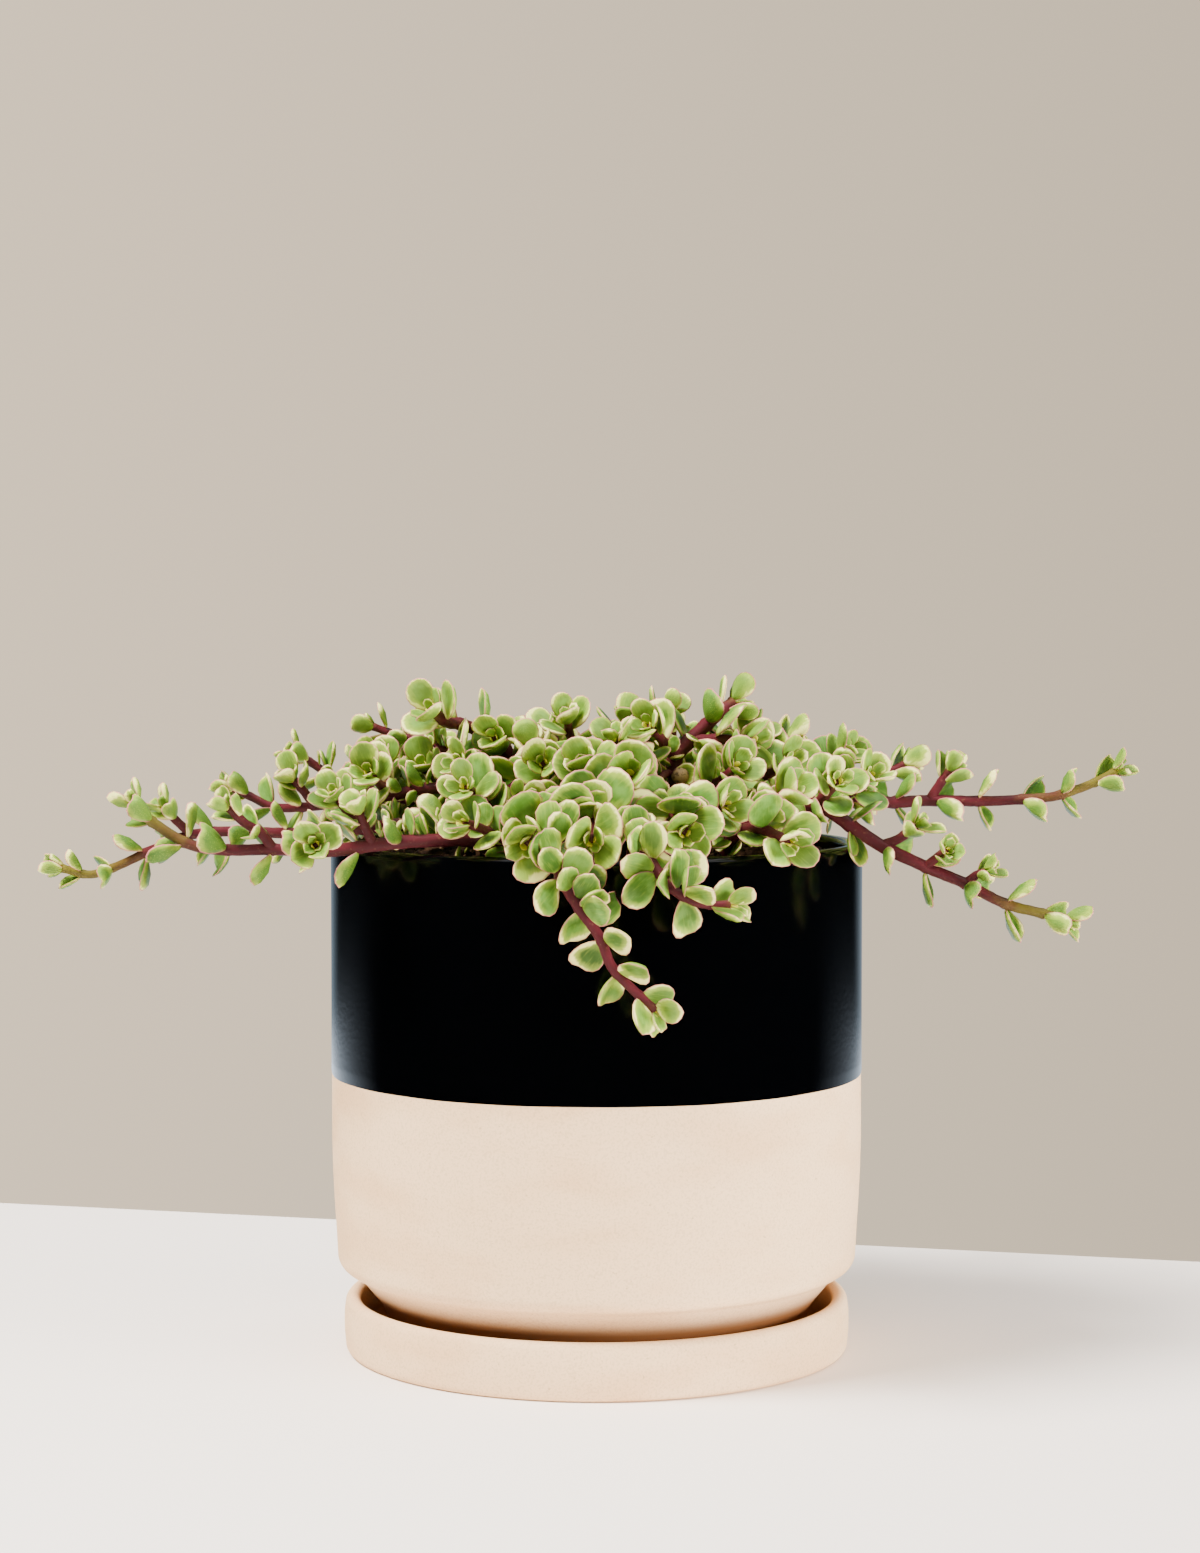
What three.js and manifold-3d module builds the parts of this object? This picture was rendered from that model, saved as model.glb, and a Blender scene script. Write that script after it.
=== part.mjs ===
// A variegated elephant bush in a round black pot with a bare clay base, standing in its clay saucer.
// Millimetres, +Z up. The origin is on the pot's axis, at the underside of the saucer, and -Y is the front.
import * as THREE from "three";
import { mergeVertices } from "three/addons/utils/BufferGeometryUtils.js";
import Module from "manifold-3d";

const wasm = await Module();
wasm.setup();

// Pot and saucer
const POT_RADIUS = 82.4;
const POT_WALL = 5;
const POT_TOP = 157.9;
const POT_BASE = 4.8;
const POT_FLOOR = 13;
const POT_NECK = [
  [63.8, POT_BASE],
  [65.4, 9.7],
  [68.9, 17.3],
];
const SHOULDER_RADIUS = 75.9;
const SHOULDER_HEIGHT = 30.2;
const SHOULDER_ROUND = 4.7;
const POT_BELLY = [
  [81.4, 45],
  [POT_RADIUS, 60],
];
const POT_INSIDE = [
  [77.4, 58],
  [74.4, 34],
  [62, 19],
  [57, POT_FLOOR],
];
const DRAIN_RADIUS = 7;
const LIP_STEPS = 4;
const SAUCER_RADIUS = 78.2;
const SAUCER_WALL = 4.8;
const SAUCER_TOP = 17.3;
const SAUCER_FLOOR = 4.5;
const SAUCER_ROUND = 4;
const SAUCER_TAPER = 0.3;
const SAUCER_EDGE_ROUND = 2.5;
const ROUND_SIDES = 36;

// Soil: the profile of its body below the dome, and where the dome's rings stand
const SOIL_CENTRE = 165;
const SOIL_FALL = 13;
const SOIL_REACH = 76;
const SOIL_GAP = 0.4;
const SOIL_BODY = [
  [56.5, POT_FLOOR + SOIL_GAP],
  [61.2, 19.2],
  [73.6, 34.4],
  [76.7, 58],
];
const DOME_RINGS = [77, 60, 36];
const SOIL_SIDES = 18;

// Stems: a leaf's root lies a part of the stem's radius out, and a hole stands a gap off its stem
const STEM_SIDES = 4;
const ROOT_DEPTH = 0.5;
const HOLE_GAP = 0.35;
const HOLE_CORNER = 1.3;
const HOLE_RISE = 1;
const UP_LIMIT = 0.85;

// Leaves: a flat face and a full back, with the outline in units of the leaf's width and length
const LEAF_OUTLINE = [
  [0, 0],
  [0.48, 0.5],
  [0.32, 0.95],
  [-0.32, 0.95],
  [-0.48, 0.5],
];
const LEAF_FACE = [
  [0, 1, 4],
  [1, 2, 4],
  [2, 3, 4],
];
const LEAF_CROWN = 0.62;
const LEAF_THICKNESS = 0.17;
const LEAF_HALF_SPAN = 0.56;
const LEAF_LEAN = 64;
const LIGHT_PULL = 0.6;
const FRONT_LIGHT = [0, -0.9, 0.44];

// Pairs of leaves at a tip stand closer, lean more and are smaller. The gaps are parts of the usual one.
const TIP_LEAN = 36;
const TIP_SIZE = 0.72;
const TIP_GAPS = [0, 0.55, 1.4];
const TIP_INSET = 0.6;
const MOST_PAIRS = 40;

// How far each leaf strays from the rule: degrees of turn, lean and roll, and parts of its size
const TURN_SPREAD = 10;
const LEAN_SPREAD = 9;
const ROLL_SPREAD = 14;
const LENGTH_SPREAD = 0.1;
const BREADTH_SPREAD = 0.05;
const SEED = 20731;

// Room that a leaf keeps: to other stems and their leaves, to its own neighbours, and to pot and soil
const CLEAR_OTHER = 0.4;
const CLEAR_OWN = 0.15;
const CLEAR_POT = 0.5;
const NEAR_ROOT = 3;
const SHORTEST = 1e-6;

// Leaves keep off this line, so that the cut end of the trunk's removed branch shows from the front
const SIGHT_LINE = [
  [25.5, -28, 179.1],
  [24, -85.4, 181.6],
];
const SIGHT_RADIUS = 3.2;

// Changes of lean, turn and size that a leaf tries in this order to stand clear
const TRIES = [
  [0, 0, 1],
  [12, 0, 1],
  [-14, 0, 1],
  [0, 20, 1],
  [0, -20, 1],
  [14, 24, 0.92],
  [14, -24, 0.92],
  [-20, 15, 0.85],
  [-20, -15, 0.85],
  [0, 40, 0.8],
  [0, -40, 0.8],
  [20, 0, 0.68],
  [-30, 0, 0.68],
];

// Each leafy stem: its half-thickness at the root and at the tip, its route from the bottom of its hole
// in the soil, its leaves and its side shoots, each of which leaves the route at the point numbered from.
// Of the leaves, gap is the length of bare stem between pairs, bare is how far from the root the lowest
// pair may stand, size and broad are a blade's length and its width over its length, turn is the angle
// of the end pair about the stem, and light is the direction that the faces turn to, where they do.
const STEMS = {
  left_low: {
    thick: [2.2, 1.5],
    route: [
      [-20, -47, 147],
      [-34, -56, 160.3],
      [-50, -62, 161.8],
      [-65, -61, 160.4],
      [-80, -60, 158.5],
      [-94.5, -58, 159],
      [-109, -57, 158.8],
      [-120, -56, 160.6],
      [-131, -56, 167.6],
      [-135, -56, 172],
    ],
    leaves: { gap: 13, bare: 24, size: 10.5, broad: 0.7, turn: 25 },
    shoots: [
      {
        from: 5,
        thick: [1.6, 1.2],
        route: [
          [-98, -60, 164],
          [-102.5, -62, 167],
          [-107, -63, 171.5],
        ],
        leaves: { gap: 8, bare: 4, size: 9, broad: 0.72, turn: 60 },
      },
      {
        from: 4,
        thick: [1.6, 1.3],
        route: [
          [-81, -65, 159.5],
          [-81, -71, 161],
        ],
        leaves: { gap: 7, bare: 3, size: 11.5, broad: 0.84, turn: 40 },
      },
      {
        from: 3,
        thick: [1.6, 1.2],
        route: [
          [-67, -62, 165],
          [-69, -64, 170],
        ],
        leaves: { gap: 7, bare: 4, size: 11, broad: 0.76, turn: 10 },
      },
    ],
  },
  left_trailing: {
    thick: [2.1, 1.2],
    route: [
      [-40, -26, 149],
      [-53, -32, 163.5],
      [-70, -38, 164],
      [-89, -38, 162.5],
      [-108, -37, 163],
      [-121, -36, 162],
      [-133, -36, 157.5],
      [-142.5, -36, 153],
      [-151.5, -36, 150],
      [-160, -36, 151.8],
    ],
    leaves: { gap: 11, bare: 26, size: 9.5, broad: 0.68, turn: 70 },
    shoots: [
      {
        from: 5,
        thick: [1.5, 1.1],
        route: [
          [-125, -37, 165.5],
          [-129, -38, 170],
        ],
        leaves: { gap: 8, bare: 4, size: 10, broad: 0.7, turn: 20 },
      },
      {
        from: 2,
        thick: [1.5, 1.2],
        route: [
          [-74, -42, 169],
          [-77, -46, 174],
        ],
        leaves: { gap: 7, bare: 4, size: 12, broad: 0.8, turn: 45 },
      },
    ],
  },
  left_middle: {
    thick: [2.2, 1.2],
    route: [
      [-22, -13, 149],
      [-26, -15, 166],
      [-38, -19, 174.5],
      [-52, -20, 175],
      [-62, -20, 173],
      [-74, -18, 171.2],
      [-86, -17, 169.5],
      [-98, -16, 169],
      [-105, -16, 172],
      [-111, -16, 175],
    ],
    leaves: { gap: 9.5, bare: 26, size: 10, broad: 0.7, turn: 50 },
    shoots: [
      {
        from: 6,
        thick: [1.5, 1.2],
        route: [
          [-89, -20, 174],
          [-92, -23, 178],
        ],
        leaves: { gap: 7, bare: 4, size: 10.5, broad: 0.8, turn: 30 },
      },
      {
        from: 4,
        thick: [1.6, 1.2],
        route: [
          [-66, -26, 177],
          [-68, -32, 180],
        ],
        leaves: { gap: 7, bare: 4, size: 12.5, broad: 0.82, turn: 20 },
      },
    ],
  },
  left_upper: {
    thick: [2.2, 1.2],
    route: [
      [-38, 4, 149],
      [-46, 4, 166],
      [-62, 2, 171.5],
      [-79, 0, 176.5],
      [-90, 0, 183],
      [-93, 0, 185],
    ],
    leaves: { gap: 8.5, bare: 26, size: 9.5, broad: 0.7, turn: 15 },
    shoots: [
      {
        from: 2,
        thick: [1.7, 1.3],
        route: [
          [-65, -3, 178],
          [-67, -8, 183],
        ],
        leaves: { gap: 7.5, bare: 4, size: 12, broad: 0.85, turn: 70 },
      },
      {
        from: 1,
        thick: [1.8, 1.3],
        route: [
          [-50, -2, 174],
          [-53, -11, 181],
        ],
        leaves: { gap: 7.5, bare: 4, size: 11.5, broad: 0.88, turn: 25 },
      },
    ],
  },
  left_high: {
    thick: [2.1, 1.2],
    route: [
      [-26, 16, 149],
      [-30, 15, 170],
      [-41, 12, 182],
      [-53, 10, 187.2],
      [-65, 10, 191.2],
      [-70, 10, 193],
    ],
    leaves: { gap: 8.5, bare: 26, size: 9.5, broad: 0.68, turn: 80 },
    shoots: [
      {
        from: 2,
        thick: [1.6, 1.2],
        route: [
          [-50, 16, 184],
          [-58, 20, 186],
        ],
        leaves: { gap: 7, bare: 5, size: 11, broad: 0.82, turn: 15 },
      },
    ],
  },
  left_arch: {
    thick: [2.6, 1.7],
    route: [
      [-15, 0, 149],
      [-19, -1, 168],
      [-25, -4, 181],
      [-28.8, -5, 187],
      [-35, -6, 191.2],
      [-41, -8, 194.2],
      [-46, -12, 195],
      [-49.5, -17, 198.5],
    ],
    leaves: { gap: 8.5, bare: 26, size: 13.5, broad: 0.84, turn: 50 },
    shoots: [
      {
        from: 3,
        thick: [1.7, 1.3],
        route: [
          [-30, -12, 189],
          [-31, -17, 190],
        ],
        leaves: { gap: 7, bare: 4, size: 11.5, broad: 0.85, turn: 35 },
      },
      {
        from: 2,
        thick: [1.8, 1.3],
        route: [
          [-31, -12, 178],
          [-37, -24, 181],
          [-41, -30, 183],
        ],
        leaves: { gap: 8, bare: 6, size: 11, broad: 0.82, turn: 10 },
      },
    ],
  },
  rim_left: {
    thick: [1.9, 1.2],
    route: [
      [-27, -58, 145],
      [-29, -61, 161],
      [-33, -66, 165.5],
      [-38, -71, 167.5],
    ],
    leaves: { gap: 7, bare: 19, size: 11, broad: 0.82, turn: 35, light: FRONT_LIGHT },
    shoots: [
      {
        from: 1,
        thick: [1.5, 1.1],
        route: [
          [-24, -66, 165],
          [-22, -70, 168],
        ],
        leaves: { gap: 6, bare: 5, size: 8.5, broad: 0.62, turn: 70 },
      },
    ],
  },
  left_front: {
    thick: [2.1, 1.3],
    route: [
      [-27, -34, 148],
      [-30, -38, 165],
      [-34, -47, 173],
      [-38, -57, 177],
    ],
    leaves: { gap: 8, bare: 20, size: 12, broad: 0.74, turn: 5, light: FRONT_LIGHT },
    shoots: [
      {
        from: 1,
        thick: [1.6, 1.2],
        route: [
          [-25, -44, 170],
          [-22, -52, 173],
        ],
        leaves: { gap: 6.5, bare: 5, size: 9.5, broad: 0.66, turn: 40 },
      },
    ],
  },
  front_left: {
    thick: [2.1, 1.5],
    route: [
      [-16, -50, 147],
      [-17, -57, 163],
      [-18, -70, 166.5],
      [-19.5, -83, 162.5],
    ],
    leaves: { gap: 8, bare: 20, size: 14.5, broad: 0.92, turn: 20, light: FRONT_LIGHT },
    shoots: [],
  },
  front_cascade: {
    thick: [2.1, 1.3],
    route: [
      [-8.5, -60, 146],
      [-9.5, -67, 159.5],
      [-11, -77, 163.4],
      [-12, -86, 161.4],
      [-10, -93, 153.5],
      [-4.7, -96, 145],
      [1, -97, 136.8],
      [4.5, -97, 128.4],
      [12, -97, 120.5],
      [16.5, -97, 116.5],
    ],
    leaves: { gap: 10.5, bare: 34, size: 11.5, broad: 0.78, turn: 50, light: FRONT_LIGHT },
    shoots: [],
  },
  front_rosette: {
    thick: [2.2, 1.5],
    route: [
      [1, -38, 148],
      [0.5, -47, 166],
      [-0.5, -66, 169.5],
      [-1.3, -84, 163.5],
    ],
    leaves: { gap: 9, bare: 20, size: 14.5, broad: 0.9, turn: 48, light: FRONT_LIGHT },
    shoots: [],
  },
  front_second: {
    thick: [2, 1.2],
    route: [
      [10, -62, 145],
      [10.5, -69, 159],
      [12, -79, 163.4],
      [15.5, -88.5, 158],
      [20, -94, 151.5],
      [26.5, -95, 147.2],
      [32, -94.5, 145.8],
      [37.5, -93, 145.8],
    ],
    leaves: { gap: 10, bare: 30, size: 11.5, broad: 0.76, turn: 40, light: FRONT_LIGHT },
    shoots: [],
  },
  front_right: {
    thick: [2.2, 1.5],
    route: [
      [21, -44, 148],
      [21.5, -51, 165],
      [23, -67, 170],
      [25, -83, 165.5],
    ],
    leaves: { gap: 8.5, bare: 20, size: 14, broad: 0.88, turn: 15, light: FRONT_LIGHT },
    shoots: [
      {
        from: 1,
        thick: [1.8, 1.3],
        route: [
          [29, -57, 169],
          [37, -66, 172],
        ],
        leaves: { gap: 8, bare: 7, size: 12.5, broad: 0.8, turn: 50 },
      },
    ],
  },
  right_rosette: {
    thick: [2.1, 1.4],
    route: [
      [36, -48, 147],
      [40, -53, 162],
      [47, -64, 165.5],
      [55, -75, 162.5],
    ],
    leaves: { gap: 7.5, bare: 19, size: 13, broad: 0.84, turn: 30, light: FRONT_LIGHT },
    shoots: [
      {
        from: 1,
        thick: [1.7, 1.3],
        route: [
          [49, -55, 171],
          [56, -60, 176],
        ],
        leaves: { gap: 8, bare: 5, size: 13, broad: 0.86, turn: 60 },
      },
    ],
  },
  right_low: {
    thick: [2.5, 1.4],
    route: [
      [46, -22, 148],
      [55, -27, 165.5],
      [66, -33, 170.5],
      [76, -38, 164.8],
      [85, -40, 159],
      [98, -43, 152.8],
      [109.5, -45, 148],
      [121, -47, 142.2],
      [131, -48, 139.6],
      [139, -48, 137.5],
    ],
    leaves: { gap: 13, bare: 28, size: 10.5, broad: 0.7, turn: 20 },
    shoots: [
      {
        from: 4,
        thick: [1.6, 1.2],
        route: [
          [90, -41.5, 161],
          [95, -43, 165],
        ],
        leaves: { gap: 8, bare: 5, size: 10.5, broad: 0.75, turn: 15 },
      },
      {
        from: 5,
        thick: [1.5, 1.1],
        route: [
          [101, -47, 156],
          [103, -52, 158],
        ],
        leaves: { gap: 7, bare: 3, size: 7.5, broad: 0.85, turn: 70 },
      },
      {
        from: 6,
        thick: [1.4, 1],
        route: [
          [112.5, -46.5, 150.5],
          [115.5, -48, 152],
        ],
        leaves: { gap: 6, bare: 3, size: 7.5, broad: 0.72, turn: 35 },
      },
      {
        from: 2,
        thick: [1.8, 1.3],
        route: [
          [69, -41, 175],
          [71, -47, 178],
        ],
        leaves: { gap: 7.5, bare: 5, size: 11.5, broad: 0.78, turn: 10 },
      },
    ],
  },
  right_high: {
    thick: [2.4, 1.3],
    route: [
      [40, 4, 148],
      [49, 4.5, 166],
      [62, 5, 171],
      [76, 5, 170],
      [92, 5, 169.5],
      [104, 5, 170.1],
      [123, 4, 170],
      [138.5, 3, 171],
      [145, 2, 172.2],
      [155, 2, 175.8],
      [161.5, 2, 179.3],
    ],
    leaves: { gap: 13, bare: 30, size: 10.5, broad: 0.66, turn: 35 },
    shoots: [
      {
        from: 5,
        thick: [1.7, 1.2],
        route: [
          [107, 4.5, 175],
          [110, 4, 179.5],
        ],
        leaves: { gap: 7, bare: 5, size: 10, broad: 0.66, turn: 70 },
      },
      {
        from: 3,
        thick: [1.7, 1.2],
        route: [
          [80, -2, 174],
          [84, -8, 178],
        ],
        leaves: { gap: 7, bare: 5, size: 11.5, broad: 0.76, turn: 40 },
      },
      {
        from: 2,
        thick: [1.8, 1.2],
        route: [
          [68, 4, 178],
          [76, 3, 185],
        ],
        leaves: { gap: 7.5, bare: 5, size: 11.5, broad: 0.86, turn: 25 },
      },
    ],
  },
  trunk: {
    thick: [3.4, 1.8],
    route: [
      [19, -21, 147],
      [21.5, -19, 166],
      [23.5, -17, 177],
      [24, -15, 184],
      [28.5, -14, 189.5],
      [38, -10, 198],
      [42, -8, 201],
    ],
    leaves: { gap: 8, bare: 40, size: 11, broad: 0.76, turn: 45 },
    shoots: [
      {
        from: 2,
        thick: [2.6, 2.6],
        route: [
          [24.5, -21, 178.6],
          [25.5, -25.5, 179],
        ],
        leaves: null,
      },
      {
        from: 3,
        thick: [1.8, 1.3],
        route: [
          [19, -20, 191],
          [16, -25, 194],
        ],
        leaves: { gap: 7.5, bare: 5, size: 12, broad: 0.86, turn: 20 },
      },
      {
        from: 1,
        thick: [2, 1.4],
        route: [
          [29, -26, 173],
          [37, -36, 178],
          [41, -42, 182],
        ],
        leaves: { gap: 8.5, bare: 8, size: 13, broad: 0.86, turn: 60 },
      },
      {
        from: 4,
        thick: [1.8, 1.3],
        route: [
          [38, -17, 190],
          [46, -22, 190],
        ],
        leaves: { gap: 8, bare: 6, size: 13, broad: 0.88, turn: 20 },
      },
    ],
  },
  centre_left: {
    thick: [2.2, 1.4],
    route: [
      [-10, -23, 147],
      [-12, -22, 166],
      [-16, -21, 177],
      [-20, -19, 187],
    ],
    leaves: { gap: 8, bare: 24, size: 13, broad: 0.84, turn: 15 },
    shoots: [
      {
        from: 2,
        thick: [1.7, 1.3],
        route: [
          [-16, -28, 181],
          [-16, -34, 183],
        ],
        leaves: { gap: 7.5, bare: 5, size: 12.5, broad: 0.88, turn: 40 },
      },
      {
        from: 1,
        thick: [1.7, 1.3],
        route: [
          [-14, -31, 169],
          [-15, -42, 171],
        ],
        leaves: { gap: 8, bare: 6, size: 11, broad: 0.8, turn: 75 },
      },
    ],
  },
  centre_front: {
    thick: [2.3, 1.5],
    route: [
      [8, -24, 147],
      [8, -30, 166],
      [8.5, -43, 175],
      [9.5, -58, 180],
    ],
    leaves: { gap: 8.5, bare: 22, size: 14.5, broad: 0.94, turn: 70, light: FRONT_LIGHT },
    shoots: [
      {
        from: 1,
        thick: [1.9, 1.4],
        route: [
          [2, -35, 175],
          [-3, -44, 182],
        ],
        leaves: { gap: 8.5, bare: 7, size: 14.5, broad: 0.94, turn: 25 },
      },
      {
        from: 1,
        thick: [1.8, 1.3],
        route: [
          [9, -26, 180],
          [6, -30, 190],
        ],
        leaves: { gap: 8, bare: 8, size: 12, broad: 0.88, turn: 50 },
      },
    ],
  },
  centre_top: {
    thick: [2.6, 1.5],
    route: [
      [4, 2, 147],
      [4, 2, 168],
      [6, 0, 182],
      [9, -4, 195],
    ],
    leaves: { gap: 8, bare: 30, size: 11.5, broad: 0.88, turn: 10 },
    shoots: [
      {
        from: 1,
        thick: [2, 1.3],
        route: [
          [-3, 3, 180],
          [-8, 0, 190],
          [-9, -4, 195],
        ],
        leaves: { gap: 8, bare: 10, size: 12, broad: 0.86, turn: 40 },
      },
      {
        from: 2,
        thick: [1.9, 1.3],
        route: [
          [15, 4, 190],
          [22, 3, 198],
        ],
        leaves: { gap: 7.5, bare: 7, size: 11, broad: 0.84, turn: 70 },
      },
    ],
  },
  centre_right: {
    thick: [2.4, 1.4],
    route: [
      [32, 6, 147],
      [34, 4, 168],
      [40, 0, 182],
      [48, -3, 192],
    ],
    leaves: { gap: 8, bare: 28, size: 12.5, broad: 0.86, turn: 35 },
    shoots: [
      {
        from: 1,
        thick: [2, 1.3],
        route: [
          [44, -8, 175],
          [54, -18, 180],
          [58, -24, 183],
        ],
        leaves: { gap: 8, bare: 8, size: 12.5, broad: 0.82, turn: 10 },
      },
      {
        from: 2,
        thick: [1.9, 1.3],
        route: [
          [50, 6, 184],
          [60, 6, 189],
        ],
        leaves: { gap: 8, bare: 6, size: 12.5, broad: 0.88, turn: 60 },
      },
    ],
  },
  right_side: {
    thick: [2.3, 1.3],
    route: [
      [52, 24, 147],
      [60, 27, 163],
      [74, 31, 171],
      [88, 34, 175],
      [99, 36, 180],
    ],
    leaves: { gap: 9, bare: 24, size: 11.5, broad: 0.78, turn: 55 },
    shoots: [
      {
        from: 2,
        thick: [1.7, 1.2],
        route: [
          [76, 24, 178],
          [80, 18, 183],
        ],
        leaves: { gap: 7.5, bare: 5, size: 11.5, broad: 0.84, turn: 30 },
      },
      {
        from: 1,
        thick: [1.8, 1.3],
        route: [
          [59, 25, 175],
          [58, 22, 184],
        ],
        leaves: { gap: 7.5, bare: 7, size: 12, broad: 0.88, turn: 10 },
      },
    ],
  },
  back_left: {
    thick: [2.3, 1.3],
    route: [
      [-38, 36, 147],
      [-45, 42, 164],
      [-54, 53, 172],
      [-62, 66, 174],
      [-68, 80, 170],
    ],
    leaves: { gap: 9, bare: 24, size: 12, broad: 0.8, turn: 35 },
    shoots: [
      {
        from: 1,
        thick: [1.9, 1.3],
        route: [
          [-47, 38, 175],
          [-51, 36, 184],
        ],
        leaves: { gap: 8, bare: 7, size: 12, broad: 0.86, turn: 60 },
      },
      {
        from: 2,
        thick: [1.7, 1.3],
        route: [
          [-66, 50, 175],
          [-77, 47, 178],
        ],
        leaves: { gap: 8, bare: 6, size: 11.5, broad: 0.8, turn: 20 },
      },
    ],
  },
  back_middle: {
    thick: [2.5, 1.4],
    route: [
      [-10, 32, 147],
      [-12, 35, 166],
      [-14, 46, 178],
      [-15, 58, 186],
    ],
    leaves: { gap: 8, bare: 24, size: 12.5, broad: 0.86, turn: 15 },
    shoots: [
      {
        from: 1,
        thick: [2, 1.3],
        route: [
          [-11, 30, 178],
          [-14, 26, 191],
        ],
        leaves: { gap: 8, bare: 8, size: 12, broad: 0.86, turn: 45 },
      },
      {
        from: 1,
        thick: [2, 1.3],
        route: [
          [-24, 44, 172],
          [-33, 52, 178],
        ],
        leaves: { gap: 8, bare: 7, size: 12, broad: 0.84, turn: 10 },
      },
      {
        from: 2,
        thick: [1.8, 1.3],
        route: [
          [-5, 54, 182],
          [3, 60, 185],
        ],
        leaves: { gap: 8, bare: 6, size: 12, broad: 0.84, turn: 70 },
      },
    ],
  },
  back_right: {
    thick: [2.4, 1.4],
    route: [
      [24, 30, 147],
      [27, 34, 166],
      [32, 46, 177],
      [38, 58, 182],
    ],
    leaves: { gap: 8, bare: 24, size: 12.5, broad: 0.86, turn: 60 },
    shoots: [
      {
        from: 1,
        thick: [2, 1.3],
        route: [
          [26, 28, 178],
          [24, 26, 191],
        ],
        leaves: { gap: 8, bare: 8, size: 12, broad: 0.86, turn: 15 },
      },
      {
        from: 1,
        thick: [2, 1.3],
        route: [
          [38, 38, 176],
          [46, 40, 187],
        ],
        leaves: { gap: 8, bare: 8, size: 12, broad: 0.84, turn: 35 },
      },
      {
        from: 2,
        thick: [1.8, 1.3],
        route: [
          [44, 54, 174],
          [57, 60, 175],
        ],
        leaves: { gap: 8, bare: 6, size: 11.5, broad: 0.8, turn: 5 },
      },
    ],
  },
  back_trailing_left: {
    thick: [2.1, 1.2],
    route: [
      [-26, 56, 146],
      [-30, 63, 160.5],
      [-37, 77, 164.5],
      [-44, 92, 161],
      [-50, 106, 154],
      [-55, 119, 150],
      [-58, 127, 151],
    ],
    leaves: { gap: 11, bare: 26, size: 10.5, broad: 0.7, turn: 40 },
    shoots: [
      {
        from: 3,
        thick: [1.5, 1.1],
        route: [
          [-39, 98, 164],
          [-36, 103, 168],
        ],
        leaves: { gap: 8, bare: 5, size: 10, broad: 0.74, turn: 15 },
      },
    ],
  },
  back_trailing_right: {
    thick: [2.2, 1.2],
    route: [
      [36, 52, 146],
      [41, 58, 162],
      [50, 71, 166],
      [58, 86, 163],
      [63, 101, 155],
      [67, 115, 147],
      [71, 126, 143],
    ],
    leaves: { gap: 11, bare: 26, size: 10.5, broad: 0.7, turn: 10 },
    shoots: [
      {
        from: 3,
        thick: [1.5, 1.1],
        route: [
          [66, 89, 166],
          [71, 92, 170],
        ],
        leaves: { gap: 8, bare: 5, size: 10, broad: 0.74, turn: 50 },
      },
    ],
  },
  back_cascade: {
    thick: [2.1, 1.3],
    route: [
      [4, 58, 146],
      [5, 66, 160],
      [7, 77, 164],
      [9, 87, 161],
      [10, 94, 152],
      [8, 97, 142],
      [5, 98, 132],
      [6, 98, 124],
    ],
    leaves: { gap: 10.5, bare: 26, size: 11.5, broad: 0.76, turn: 35 },
    shoots: [],
  },
};

// Colours
const LEAF_GREEN = 0x93b566;
const GLAZE_BLACK = 0x0b0d10;
const CLAY = 0xe0cbb4;
const SOIL_BROWN = 0x3a2a1e;

const radians = THREE.MathUtils.degToRad;

// One number from 0 to 1 after another, the same in every run
let drawn = SEED;
function draw() {
  drawn = (Math.imul(1664525, drawn) + 1013904223) >>> 0;
  return drawn / 4294967296;
}

function spread(width) {
  return (2 * draw() - 1) * width;
}

// A closed geometry as a solid for joining and cutting.
function solidOf(geometry) {
  geometry.deleteAttribute("normal");
  geometry.deleteAttribute("uv");
  const merged = mergeVertices(geometry, 1e-4);
  return new wasm.Manifold(
    new wasm.Mesh({
      numProp: 3,
      vertProperties: merged.attributes.position.array,
      triVerts: new Uint32Array(merged.index.array),
    }),
  );
}

// A solid as a geometry, flat on every face.
function geometryOf(solid) {
  const mesh = solid.getMesh();
  const geometry = new THREE.BufferGeometry();
  geometry.setAttribute("position", new THREE.BufferAttribute(mesh.vertProperties, 3));
  geometry.setIndex(new THREE.BufferAttribute(mesh.triVerts, 1));
  const flat = geometry.toNonIndexed();
  flat.computeVertexNormals();
  return flat;
}

// A profile of radius and height, turned about +Z.
function turned(profile, sides) {
  const points = profile.map(([r, z]) => new THREE.Vector2(r, z));
  return new THREE.LatheGeometry(points, sides).rotateX(Math.PI / 2);
}

// Points on an arc about a centre, from one angle to another in degrees.
function arc(r, z, radius, from, to, steps) {
  return Array.from({ length: steps + 1 }, (unused, i) => {
    const angle = radians(from + ((to - from) * i) / steps);
    return [r + radius * Math.cos(angle), z + radius * Math.sin(angle)];
  });
}

function soilHeight(r) {
  return SOIL_CENTRE - SOIL_FALL * (r / SOIL_REACH) ** 2;
}

// The pot tapers a little towards a rounded shoulder, under which a neck narrows to its foot.
function potGeometry() {
  const lip = POT_WALL / 2;
  const profile = [
    [DRAIN_RADIUS, POT_BASE],
    ...POT_NECK,
    ...arc(SHOULDER_RADIUS, SHOULDER_HEIGHT, SHOULDER_ROUND, -90, 0, 2),
    ...POT_BELLY,
    ...arc(POT_RADIUS - lip, POT_TOP - lip, lip, 0, 180, LIP_STEPS),
    ...POT_INSIDE,
    [DRAIN_RADIUS, POT_FLOOR],
    [DRAIN_RADIUS, POT_BASE],
  ];
  return turned(profile, ROUND_SIDES);
}

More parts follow.
